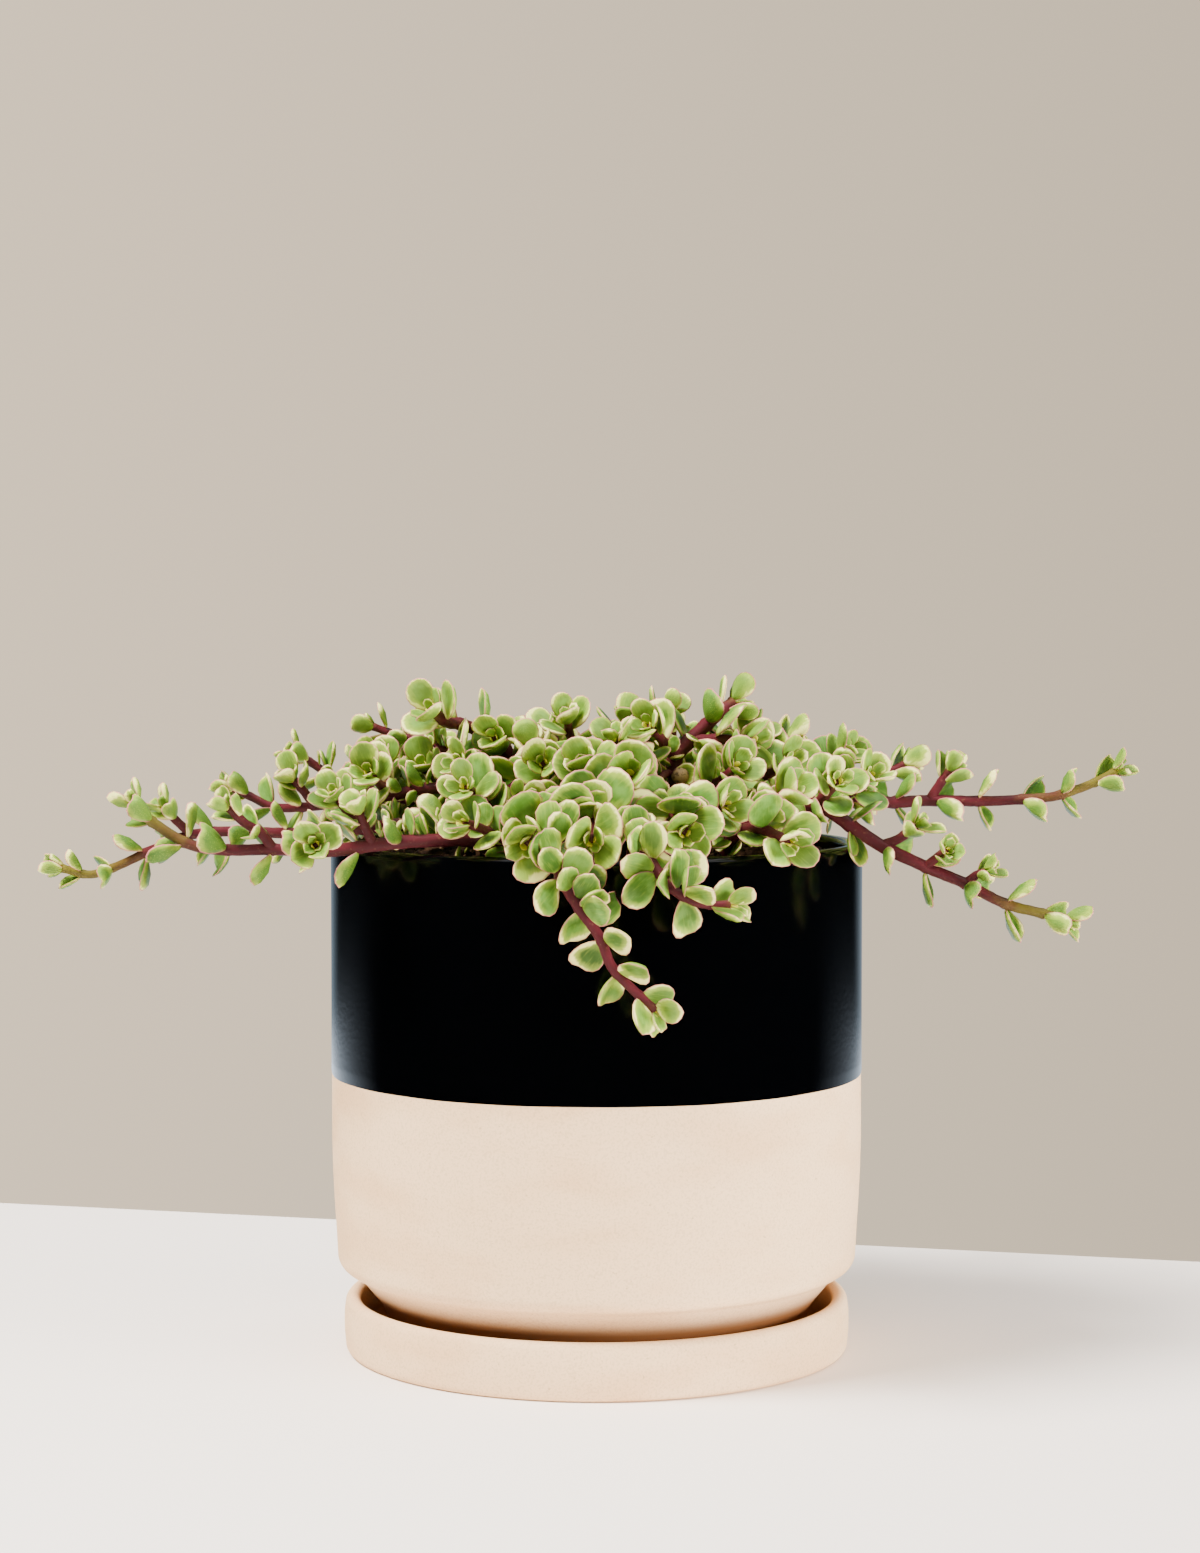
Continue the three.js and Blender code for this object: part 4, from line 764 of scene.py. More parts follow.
@dataclass(frozen=True)
class SoilFinish:
    """Dark potting mix with crumbs of peat and bark."""

    peat: Colour = (0.010, 0.0050, 0.0030)
    bark: Colour = (0.040, 0.020, 0.010)
    chip: Colour = (0.13, 0.075, 0.040)
    bark_grain: float = 320.0
    bark_band: Band = (0.4, 0.65)
    chip_band: Band = (0.80, 1.0)
    gloss: Pair = (0.95, 0.5)
    relief_grain: Grain = (900.0, 5.0)
    relief: Pair = (0.8, 0.0008)

    def build(self) -> Material:
        """Return the material, which reads the tone of each loose bit from the mesh.

        Returns:
            The material.
        """
        s = Shader("soil")
        place = s.object_place()
        crumbs = s.step(s.noise(place, self.bark_grain), *self.bark_band)
        colour = s.mix(crumbs, self.peat, self.bark)
        colour = s.mix(s.step(s.attribute("tone"), *self.chip_band), colour, self.chip)
        return s.finish(colour, self.gloss, (s.noise(place, *self.relief_grain), *self.relief))


@dataclass(frozen=True)
class FloorFinish:
    """The pale floor, with hardly any clouds."""

    pale: Colour = (0.93, 0.850, 0.785)
    cloud: float = 0.985
    cloud_grain: float = 3.0
    gloss: Pair = (0.7, 0.2)

    def build(self) -> Material:
        """Return the material.

        Returns:
            The material.
        """
        s = Shader("floor")
        tint = tuple(self.cloud * c for c in self.pale)
        colour = s.mix(s.noise(s.object_place(), self.cloud_grain), self.pale, tint)
        return s.finish(colour, self.gloss)


class Finish(Enum):
    """Every finish of the scene."""

    LEAF = LeafFinish()
    BARK = BarkFinish()
    GLAZE = GlazeFinish()
    CLAY = ClayFinish()
    SOIL = SoilFinish()
    FLOOR = FloorFinish()


@dataclass
class Surface:
    """Points and faces of one surface, with the numbers its material reads at each point.

    Attributes:
        points: One row a point, in millimetres.
        quads: Faces of four points.
        tris: Faces of three points.
        numbers: Name to one number a point.
        places: Each point's own place on its leaf, for the UV map.
    """

    points: Array
    quads: Array
    tris: Array
    numbers: dict[str, Array]
    places: Array | None = None


def joined(faces: list[Array], corners: int, starts: Array) -> Array:
    """Return the faces of several surfaces as one array, each counted on from its surface's start."""
    rows = [each.reshape(-1, corners) + start for each, start in zip(faces, starts)]
    return np.vstack(rows).astype(np.int32)


def make_piece(name: str, parts: list[tuple[Surface, Material]]) -> Piece:
    """Make one mesh object of several surfaces.

    Args:
        name: Name of the object.
        parts: Each surface with its material.

    Returns:
        The object, linked to the scene.
    """
    surfaces = [surface for surface, _ in parts]
    starts = np.cumsum([0] + [len(s.points) for s in surfaces])
    quads = joined([s.quads for s in surfaces], 4, starts)
    tris = joined([s.tris for s in surfaces], 3, starts)
    loops = np.concatenate((quads.ravel(), tris.ravel()))
    begins = np.concatenate((np.arange(len(quads)) * 4, len(quads) * 4 + np.arange(len(tris)) * 3))
    points = np.vstack([s.points for s in surfaces]) * MM
    face_counts = [len(s.quads) for s in surfaces] + [len(s.tris) for s in surfaces]
    slots = np.repeat(np.tile(np.arange(len(parts)), 2), face_counts)
    mesh = bpy.data.meshes.new(name)
    mesh.vertices.add(len(points))
    mesh.vertices.foreach_set("co", points.astype(np.float32).ravel())
    mesh.loops.add(len(loops))
    mesh.loops.foreach_set("vertex_index", loops)
    mesh.polygons.add(len(begins))
    mesh.polygons.foreach_set("loop_start", begins.astype(np.int32))
    mesh.polygons.foreach_set("material_index", slots.astype(np.int32))
    mesh.polygons.foreach_set("use_smooth", np.ones(len(begins), bool))
    for key in sorted({key for s in surfaces for key in s.numbers}):
        values = [s.numbers.get(key, np.zeros(len(s.points))) for s in surfaces]
        held = mesh.attributes.new(key, "FLOAT", "POINT")
        held.data.foreach_set("value", np.concatenate(values).astype(np.float32))
    if any(s.places is not None for s in surfaces):
        places = [s.places if s.places is not None else s.points[:, :2] * MM for s in surfaces]
        layer = mesh.uv_layers.new(name="UVMap")
        layer.data.foreach_set("uv", np.vstack(places)[loops].astype(np.float32).ravel())
    for _, material in parts:
        mesh.materials.append(material)
    mesh.update(calc_edges=True)
    mesh.validate()
    piece = bpy.data.objects.new(name, mesh)
    bpy.context.scene.collection.objects.link(piece)
    return piece


def weld(piece: Piece) -> Piece:
    """Join the points that two surfaces of a piece share, and drop those that no face uses.

    Args:
        piece: The piece, whose mesh is changed.

    Returns:
        The same piece.
    """
    mesh = piece.data
    work = bmesh.new()
    work.from_mesh(mesh)
    bmesh.ops.remove_doubles(work, verts=work.verts, dist=SAME_POINT)
    bmesh.ops.delete(work, geom=[v for v in work.verts if not v.link_faces], context="VERTS")
    work.to_mesh(mesh)
    work.free()
    return piece


def grid_faces(rows: int, columns: int) -> Array:
    """Return the faces of a grid whose columns close in a ring.

    The corner in a row and column has the number row times columns plus column.

    Args:
        rows: How many rings.
        columns: How many points a ring has.

    Returns:
        One row a face, with its corners in turn.
    """
    row, column = np.meshgrid(np.arange(rows - 1), np.arange(columns), indexing="ij")
    a = row * columns + column
    b = row * columns + (column + 1) % columns
    return np.stack((a, b, b + columns, a + columns), axis=-1).reshape(-1, 4)


def end_faces(count: int, sides: int) -> Array:
    """Return the faces that close a grid of rings with two points, which come after its own.

    Args:
        count: How many points the grid has.
        sides: How many points a ring has.

    Returns:
        The triangles from the first ring to the first point and from the last ring to the second.
    """
    j = np.arange(sides)
    k = (j + 1) % sides
    last = count - sides
    low = np.stack((np.full(sides, count), k, j), axis=-1)
    high = np.stack((np.full(sides, count + 1), last + j, last + k), axis=-1)
    return np.vstack((low, high))


def ring_angles(sides: int) -> Array:
    """Return the angle of each point of a ring."""
    return FULL_TURN * np.arange(sides) / sides


def arc(r: float, z: float, radius: float, start: float, end: float, steps: int) -> list[Pair]:
    """Return points on an arc about a centre, from one angle to another in degrees."""
    angles = np.radians(np.linspace(start, end, steps + 1))
    return [(r + radius * math.cos(a), z + radius * math.sin(a)) for a in angles]


def fill_profile(profile: list[Pair], step: float) -> Array:
    """Return a profile with more points, so that no stretch of it is longer than a step.

    Args:
        profile: Radius and height of each point.
        step: The longest stretch.

    Returns:
        The profile, one row a point.
    """
    points = [profile[0]]
    for (r0, z0), (r1, z1) in zip(profile, profile[1:]):
        count = max(1, math.ceil(math.hypot(r1 - r0, z1 - z0) / step))
        points += [(mix(r0, r1, i / count), mix(z0, z1, i / count)) for i in range(1, count + 1)]
    return np.array(points)


def turned(profile: Array, sides: int) -> Array:
    """Return the points of a profile turned about the pot's axis: radius times cosine and sine.

    Args:
        profile: Radius and height, one row a point.
        sides: How many faces go round.

    Returns:
        One row a point, ring after ring.
    """
    angles = ring_angles(sides)
    x = profile[:, 0, None] * np.cos(angles)
    y = profile[:, 0, None] * np.sin(angles)
    z = np.repeat(profile[:, 1, None], sides, axis=1)
    return np.stack((x, y, z), axis=-1).reshape(-1, 3)


def solid_turned(profile: Array, sides: int) -> Surface:
    """Return a closed surface of a profile turned about the pot's axis, whose faces look outward.

    Args:
        profile: Radius and height of each point, from the axis at the bottom round to the axis above.
        sides: How many faces go round.

    Returns:
        The surface, with a single point where the profile meets the axis.
    """
    rings = turned(profile[1:-1], sides)
    ends = np.array([(0, 0, profile[0, 1]), (0, 0, profile[-1, 1])])
    quads = grid_faces(len(profile) - 2, sides)
    return Surface(np.vstack((rings, ends)), quads, end_faces(len(rings), sides), {})


def ring_turned(profile: Array, sides: int) -> Surface:
    """Return a closed surface of a closed profile that stays off the axis, turned about it.

    Args:
        profile: Radius and height, one row a point.
        sides: How many faces go round.

    Returns:
        The surface.
    """
    points = turned(profile, sides)
    quads = grid_faces(len(profile) + 1, sides) % len(points)
    return Surface(points, quads, np.zeros((0, 3), int), {})


@dataclass(frozen=True)
class Pot:
    """The pot: glazed above the line and inside, bare clay below, with a drain hole in its floor.

    A curve is a row of points, each with its radius and its height.

    Attributes:
        shoulder: Radius and height of the middle of the shoulder's arc, and the arc's radius.
        glaze_step: How far the glaze stands out at its lower edge.
        glaze_slope: How far above and below the line the step starts and ends.
        inner_curve: The inside: how far in from the wall, and the height.
        waves: Height, number round the pot and phase of the waves in the glaze's lower edge.
        painted_shade_top: Where the painted shade under the shoulder starts. It is full
            painted_shade_fade below that.
    """

    radius: float = 82.4
    wall: float = 5.0
    top: float = 157.9
    base: float = 4.8
    floor: float = 13.0
    drain: float = 7.0
    foot: float = 63.8
    foot_round: Pair = (0.8, 0.6)
    low_curve: Pairs = (
        (65.3, 9.7), (66.2, 12.3), (67.3, 14.9), (68.9, 17.3), (71.2, 20.1), (73.4, 22.9),
    )
    shoulder: Point = (75.9, 30.2, 4.7)
    shoulder_turn: Pair = (-84, 0)
    high_curve: Pairs = ((81.0, 38), (81.5, 46), (82.0, 56), (82.25, 66))
    glaze_line: float = 87.0
    glaze_step: float = 0.2
    glaze_slope: float = 0.5
    inner_curve: Pairs = ((0, 58), (3, 34))
    floor_curve: Pairs = ((62, 19), (57, 13))
    arc_faces: tuple[int, int] = (10, 14)
    step: float = 3.0
    waves: Points = ((0.08, 3, 0.6), (0.05, 7, 0.0), (0.03, 19, 2.0))
    wave_reach: float = 4.0
    # Painted shade under the shoulder and over the foot, darker towards the bottom
    painted_shade_top: float = 27.0
    painted_shade_fade: float = 9.0

    def profile(self) -> Array:
        """Return the closed profile, from the drain hole out and up the wall and back inside.

        Returns:
            Radius and height, one row a point.
        """
        inner = self.radius - self.wall
        lip = self.wall / 2
        shoulder_faces, lip_faces = self.arc_faces
        start = (self.drain, self.base)
        outside = [
            start,
            (self.foot - self.foot_round[0], self.base),
            (self.foot, self.base + self.foot_round[1]),
            *self.low_curve,
            *arc(*self.shoulder, *self.shoulder_turn, shoulder_faces),
            *self.high_curve,
            (self.radius - self.glaze_step, self.glaze_line - self.glaze_slope),
            (self.radius, self.glaze_line + self.glaze_slope),
            *arc(self.radius - lip, self.top - lip, lip, 0, 180, lip_faces),
        ]
        wall = [(inner - aside, z) for aside, z in self.inner_curve]
        inside = [*wall, *self.floor_curve, (self.drain, self.floor)]
        return fill_profile(outside + inside + [start], self.step)[:-1]

    def build(self, glaze: Material, clay: Material) -> Piece:
        """Return the pot, with the glaze's lower edge a little uneven.

        The edge rises and falls by a sum of sine waves round the pot, which fades out above and below
        it as a bell curve.

        Args:
            glaze: The finish above the line and inside.
            clay: The finish below the line.

        Returns:
            The piece.
        """
        profile = self.profile()
        surface = ring_turned(profile, ROUND_SIDES)
        points = surface.points
        angle = np.arctan2(points[:, 1], points[:, 0])
        wave = sum(height * np.sin(count * angle + phase) for height, count, phase in self.waves)
        near = np.exp(-(((points[:, 2] - self.glaze_line) / self.wave_reach) ** 2))
        outer = np.hypot(points[:, 0], points[:, 1]) > self.radius - self.wall / 2
        points[:, 2] += wave * near * outer
        rows = np.repeat(np.arange(len(profile)), ROUND_SIDES)
        middle = (profile[:, 1] + np.roll(profile[:, 1], -1)) / 2
        bare = (middle < self.glaze_line) & (np.arange(len(profile)) < int(np.argmax(profile[:, 1])))
        # Painted shade on the underside, where the shoulder and the saucer shelter the clay
        numbers = {"toast": np.clip((self.painted_shade_top - points[:, 2]) / self.painted_shade_fade, 0, 1) ** 2}
        low = Surface(points, surface.quads[bare[rows]], surface.tris, numbers)
        high = Surface(points, surface.quads[~bare[rows]], surface.tris, numbers)
        return weld(make_piece("pot_body", [(low, clay), (high, glaze)]))


@dataclass(frozen=True)
class Saucer:
    """The saucer: a shallow dish whose thick wall swells a little, with painted shade in dark brown low
    down inside.

    Attributes:
        swell_curve: Part of the swell, and how far above its middle.
        inner_curve: The corner inside: how far in from the wall, and how far above the floor.
        painted_shade_reach: How far out from the inner wall the painted shade fades.
        painted_shade_top: Where the painted shade starts. It is full painted_shade_fade below that.
    """

    radius: float = 78.2
    wall: float = 4.8
    top: float = 17.3
    floor: float = 4.5
    foot_round: float = 2.2
    foot_turn: Pair = (-90, -10)
    lip_turn: Pair = (5, 180)
    arc_faces: tuple[int, int] = (8, 14)
    swell: float = 0.45
    swell_height: float = 9.5
    swell_curve: Pairs = ((0.8, -3.5), (1, 0), (0.8, 3))
    inner_curve: Pairs = ((0.3, 3), (0.9, 1.2), (2.2, 0.2), (3.5, 0))
    step: float = 4.0
    painted_shade_reach: float = 1.6
    painted_shade_top: float = 11.5
    painted_shade_fade: float = 6.0

    def build(self, clay: Material) -> Piece:
        """Return the saucer.

        Args:
            clay: Its finish.

        Returns:
            The piece.
        """
        lip = self.wall / 2
        inner = self.radius - self.wall
        foot = self.foot_round
        foot_faces, lip_faces = self.arc_faces
        profile = [
            (0, 0),
            *arc(self.radius - foot, foot, foot, *self.foot_turn, foot_faces),
            *((self.radius + self.swell * part, self.swell_height + z) for part, z in self.swell_curve),
            *arc(self.radius - lip, self.top - lip, lip, *self.lip_turn, lip_faces),
            *((inner - aside, self.floor + z) for aside, z in self.inner_curve),
            (0, self.floor),
        ]
        surface = solid_turned(fill_profile(profile, self.step), ROUND_SIDES)
        x, y, z = surface.points.T
        # Painted shade low inside the dish, where the pot's foot shelters it, darker towards the floor
        inside = np.clip((inner + self.painted_shade_reach - np.hypot(x, y)) / self.painted_shade_reach, 0, 1)
        low = np.clip((self.painted_shade_top - z) / self.painted_shade_fade, 0, 1)
        surface.numbers["toast"] = inside * low * (z > self.floor - 1)
        return make_piece("saucer_dish", [(surface, clay)])


@dataclass(frozen=True)
class Soil:
    """The soil: a low crumbly dome that fills the pot, with loose bits of bark on it.

    Attributes:
        low_curve: Radius and height where it follows the corner inside the pot.
        wall_curve: How far in from the inner wall, and the height, of points on the side.
        waves: Length and height of the crumbs' waves, of which each length has wave_count.
        bit_size: Least and greatest half-length of a loose bit.
        bit_edge: Least and greatest part of that for each edge.
        bit_corner: Least and greatest part of its way out at which each corner lies.
    """

    centre: float = 165.0
    fall: float = 13.0
    reach: float = 76.0
    gap: float = 0.4
    foot: float = 56.5
    low_curve: Pair = (61.2, 19.2)
    wall_curve: Pairs = ((3.4, 34.4), (0.3, 58))
    rings: int = 60
    sides: int = 150
    waves: Pairs = ((26, 0.8), (11, 0.5), (5, 0.35), (2.6, 0.25))
    wave_count: int = 5
    wave_part: float = 2.2
    rim: float = 0.5
    bits: int = 1500
    bit_size: Pair = (0.5, 1.7)
    bit_edge: Pair = (0.5, 1)
    bit_corner: Pair = (0.7, 1)
    bit_rim: float = 4.0
    bit_lift: float = 0.3

    def height(self, radius: Array | float) -> Array | float:
        """Return the height of the dome at a distance from the pot's axis."""
        return self.centre - self.fall * (radius / self.reach) ** 2

    def crumbs(self, x: Array, y: Array, random: Random) -> Array:
        """Return how far the crumbs lift the dome at some places: short waves in random directions.

        Args:
            x: Places along X.
            y: Places along Y.
            random: Where directions and phases come from.

        Returns:
            One lift a place.
        """
        lift = np.zeros_like(x)
        for wavelength, height in self.waves:
            for angle, phase in random.uniform(0, FULL_TURN, (self.wave_count, 2)):
                across = x * math.cos(angle) + y * math.sin(angle)
                lift += height / self.wave_part * np.sin(FULL_TURN * across / wavelength + phase)
        return lift

    def body(self, random: Random) -> Surface:
        """Return the solid that fills the pot.

        Args:
            random: Where the crumbs come from.

        Returns:
            The closed surface.
        """
        inner = POT.radius - POT.wall - self.gap
        floor = POT.floor + self.gap
        dome = [(r, self.height(r)) for r in np.linspace(inner, inner / self.rings, self.rings)]
        side = [(inner - aside, z) for aside, z in self.wall_curve]
        profile = [(0, floor), (self.foot, floor), self.low_curve, *side, *dome, (0, self.centre)]
        surface = solid_turned(np.array(profile, float), self.sides)
        x, y, z = surface.points.T
        top = (z > side[-1][1]) & (np.hypot(x, y) < inner - self.rim)
        surface.points[top, 2] += self.crumbs(x[top], y[top], random)
        surface.numbers["tone"] = np.zeros(len(surface.points))
        return surface

    def loose(self, random: Random) -> Surface:
        """Return the loose bits, each a bent little block of eight points.

        Args:
            random: Where their places, sizes and turns come from.

        Returns:
            The surface.
        """
        count = self.bits
        radius = (POT.radius - POT.wall - self.bit_rim) * np.sqrt(random.uniform(0, 1, count))
        angle = random.uniform(0, FULL_TURN, count)
        height = self.height(radius) + self.bit_lift
        centres = np.stack((radius * np.cos(angle), radius * np.sin(angle), height), axis=-1)
        square = ((-1, -1), (1, -1), (1, 1), (-1, 1))
        corners = np.array([(x, y, z) for z in (-1, 1) for x, y in square], float)
        lengths = random.uniform(*self.bit_size, (count, 1, 1))
        sizes = lengths * random.uniform(*self.bit_edge, (count, 1, 3))
        blocks = corners * sizes * random.uniform(*self.bit_corner, (count, 8, 1))
        turns, _ = np.linalg.qr(random.normal(size=(count, 3, 3)))
        turns *= np.sign(np.linalg.det(turns))[:, None, None]
        points = (blocks @ turns + centres[:, None, :]).reshape(-1, 3)
        sides = [(0, 3, 2, 1), (4, 5, 6, 7), (0, 1, 5, 4), (1, 2, 6, 5), (2, 3, 7, 6), (3, 0, 4, 7)]
        quads = (np.array(sides) + 8 * np.arange(count)[:, None, None]).reshape(-1, 4)
        tone = np.repeat(random.uniform(0, 1, count), 8)
        return Surface(points, quads, np.zeros((0, 3), int), {"tone": tone})

    def build(self, material: Material) -> Piece:
        """Return the soil."""
        random = np.random.default_rng(SEED)
        return make_piece("soil_mix", [(make(random), material) for make in (self.body, self.loose)])


POT = Pot()
SAUCER = Saucer()
SOIL = Soil()


class Draws:
    """One number from 0 to 1 after another, the same in every run and the same as in the solids."""

    FACTOR = 1664525
    ADDEND = 1013904223
    RANGE = 2**32

    def __init__(self, seed: int) -> None:
        """Start from a seed."""
        self.state = seed

    def draw(self) -> float:
        """Return the next number from 0 to 1."""
        self.state = (self.FACTOR * self.state + self.ADDEND) % self.RANGE
        return self.state / self.RANGE

    def spread(self, width: float) -> float:
        """Return the next number from minus the width to the width."""
        return (2 * self.draw() - 1) * width


def frame_of(along: Array) -> tuple[Array, Array]:
    """Return the directions up and sideways, as nearly as they can be, across a stem.

    Args:
        along: Direction of the stem.

    Returns:
        The two directions.
    """
    steep = abs(along[2]) > UP_LIMIT
    up = np.array((0.0, -1.0, 0.0)) if steep else np.array((0.0, 0.0, 1.0))
    up = unit(up - up.dot(along) * along)
    return up, np.cross(along, up)


class Axis:
    """One stem or shoot: a chain of straight stretches in the solids, a smooth curve here."""

    def __init__(self, node: str, points: Array, thick: Pair, leaves: Leaves | None) -> None:
        """Measure the route.

        Args:
            node: Name of the stem it belongs to.
            points: The route, one row a point.
            thick: Half-thickness at the root and at the tip.
            leaves: The rule for its leaves, or None.
        """
        self.node = node
        self.points = points
        self.thick = thick
        self.leaves = leaves
        steps = np.linalg.norm(np.diff(points, axis=0), axis=1)
        self.distances = np.concatenate(([0.0], np.cumsum(steps)))
        self.length = float(self.distances[-1])
        self.radii = thick[0] + (thick[1] - thick[0]) * self.distances / self.length

    def stretch(self, distance: float) -> int:
        """Return the number of the point at the far end of the stretch that holds a distance."""
        return max(1, int(np.searchsorted(self.distances, distance)))

    def smooth(self, stretch: int, part: Array) -> Array:
        """Return points on the smooth curve through the route.

        It is a cubic that runs, at each point, in line with the points before and after it.

        Args:
            stretch: Number of the point at the stretch's far end.
            part: How far along the stretch, from 0 to 1.

        Returns:
            One row a point.
        """
        first = 2 * self.points[0] - self.points[1]
        last = 2 * self.points[-1] - self.points[-2]
        p = np.vstack((first, self.points, last))[stretch - 1 : stretch + 3]
        t = np.asarray(part)[:, None]
        bend = (2 * p[0] - 5 * p[1] + 4 * p[2] - p[3]) * t**2
        twist = (3 * p[1] - p[0] - 3 * p[2] + p[3]) * t**3
        return 0.5 * (2 * p[1] + (p[2] - p[0]) * t + bend + twist)

    def pair_places(self) -> list[float]:
        """Return how far back from the tip each pair of leaves stands.

        Returns:
            One distance a pair, the end pair first.
        """
        places = []
        last = len(TIP_GAPS) - 1
        for i in range(MOST_PAIRS):
            back = self.leaves.gap * (TIP_GAPS[i] if i <= last else TIP_GAPS[last] + i - last)
            if self.length - back < self.leaves.bare:
                break
            places.append(back)
        return places


class Blade:
    """A leaf as the solids have it: where it stands, how it is turned, and its corners."""

    def __init__(
        self, axis: Axis, distance: float, turn: float, lean: float, roll: float, length: float,
        width: float,
    ) -> None:
        """Place a leaf on an axis.

        Args:
            axis: The stem or shoot.
            distance: How far along the axis.
            turn: Angle about the stem, in degrees.
            lean: Angle to the stem, in degrees.
            roll: Angle about its own length, in degrees.
            length: Length of the leaf.
            width: Width of the leaf.
        """
        i = axis.stretch(distance)
        along = unit(axis.points[i] - axis.points[i - 1])
        root = axis.points[i - 1] + along * (distance - axis.distances[i - 1])
        up, side = frame_of(along)
        out = up * math.cos(math.radians(turn)) + side * math.sin(math.radians(turn))
        c, s = math.cos(math.radians(lean)), math.sin(math.radians(lean))
        reach = along * c + out * s
        face = along * s - out * c
        if axis.leaves.light:
            light = np.array(axis.leaves.light)
            light = light - light.dot(reach) * reach
            face = unit(face * (1 - LIGHT_PULL) + light * LIGHT_PULL)
        across = np.cross(reach, face)
        c, s = math.cos(math.radians(roll)), math.sin(math.radians(roll))
        self.node = axis.node
        self.axis = axis
        self.distance = distance
        self.turn = turn
        self.wide = across * c + face * s
        self.look = face * c - across * s
        self.along = reach
        self.root = root + out * ROOT_DEPTH * axis.radii[i]
        self.length = length
        self.width = width
        self.centre = self.root + reach * length / 2
        self.reach = length * BLADE_REACH
        self.radius = 0.0
        self.shape()

    def shape(self) -> None:
        """Work out the corners and the directions in which the blade may be held apart from others."""
        flat = self.root + np.outer(OUTLINE[:, 0] * self.width, self.wide)
        flat = flat + np.outer(OUTLINE[:, 1] * self.length, self.along)
        crown = self.root + self.along * CROWN_PLACE * self.length
        crown = crown - self.look * CROWN_DEPTH * self.length
        self.corners = np.vstack((flat, crown))
        count = len(OUTLINE)
        faces = FLAT_FACES + tuple((count, (i + 1) % count, i) for i in range(count))
        a, b, d = (self.corners[[face[k] for face in faces]] for k in range(3))
        edges = np.roll(flat, -1, axis=0) - flat
        normals = np.vstack((np.cross(b - a, d - a), np.cross(edges, self.look), self.look))
        self.axes = normals / np.linalg.norm(normals, axis=1)[:, None]
        self.frame = np.array((self.wide, self.along, self.look))


class Stretch:
    """A straight stretch of stem as something that leaves keep clear of."""

    def __init__(self, axis: Axis, i: int) -> None:
        """Measure the stretch of an axis that starts at its point i.

        Args:
            axis: The stem or shoot.
            i: Number of the point.
        """
        self.node = axis.node
        self.corners = axis.points[i : i + 2]
        self.axes = np.zeros((0, 3))
        self.frame = unit(self.corners[1] - self.corners[0])[None, :]
        self.centre = self.corners.mean(axis=0)
        self.radius = axis.radii[i]
        self.reach = np.linalg.norm(self.corners[1] - self.corners[0]) / 2 + self.radius

    def distance(self, point: Array) -> float:
        """Return how far a point is from the stretch's middle line.

        Args:
            point: The point.

        Returns:
            The distance.
        """
        line = self.corners[1] - self.corners[0]
        part = np.clip(np.dot(point - self.corners[0], line) / line.dot(line), 0, 1)
        return float(np.linalg.norm(point - self.corners[0] - part * line))


def apart(a: Blade, b: Blade | Stretch, room: float) -> bool:
    """Return whether some direction keeps two convex bodies apart by the given room.

    Args:
        a: A leaf.
        b: A leaf or a stretch of stem.
        room: The least gap.

    Returns:
        Whether there is such a direction.
    """
    crosses = np.cross(a.frame[:, None, :], b.frame[None, :, :]).reshape(-1, 3)
    sizes = np.linalg.norm(crosses, axis=1)
    crosses = crosses[sizes > SAME_WAY] / sizes[sizes > SAME_WAY, None]
    directions = np.vstack((unit(b.centre - a.centre), a.axes, b.axes, crosses))
    on_a, on_b = a.corners @ directions.T, b.corners @ directions.T
    gaps = np.maximum(on_b.min(axis=0) - on_a.max(axis=0), on_a.min(axis=0) - on_b.max(axis=0))
    return bool((gaps - b.radius >= room).any())


def clear_of_pot(leaf: Blade) -> bool:
    """Return whether a leaf is clear of the pot's wall and rim and of the soil.

    Args:
        leaf: The leaf.

    Returns:
        Whether it is.
    """
    x, y, z = leaf.corners.T
    radius = np.hypot(x, y)
    azimuth = math.atan2(leaf.centre[1], leaf.centre[0])
    if (x * math.cos(azimuth) + y * math.sin(azimuth) > POT.radius + CLEAR_POT).all():
        return True
    above = (z > POT.top + CLEAR_POT).all()
    inside = (radius < POT.radius - POT.wall - CLEAR_POT).all()
    dry = ((radius > POT.radius) | (z > SOIL.height(radius) + CLEAR_POT)).all()
    return bool((above or inside) and dry)


@dataclass(frozen=True)
class Filling:
    """How small leaves between the pairs are tried.

    Attributes:
        step: Stretch of stem between tries.
        tip: Stretch at the tip that is left alone.
        tries: How many are tried at each place.
        turn: How far they stray from upwards, in degrees.
        lean: Least and greatest angle to the stem.
        roll: Greatest angle about their own length.
        size: Least and greatest part of the usual length.
        broad: Least and greatest part of the usual width.
        young: Least and greatest age, where 1 is a bud.
        reach: Greatest distance from the pot's axis.
        top: Greatest height.
    """

    step: float = 2.4
    tip: float = 8.0
    tries: int = 5
    turn: float = 65.0
    lean: Pair = (45.0, 115.0)
    roll: float = 35.0
    size: Pair = (0.55, 0.92)
    broad: Pair = (0.92, 1.08)
    young: Pair = (0.0, 0.4)
    reach: float = 86.0
    top: float = 196.0


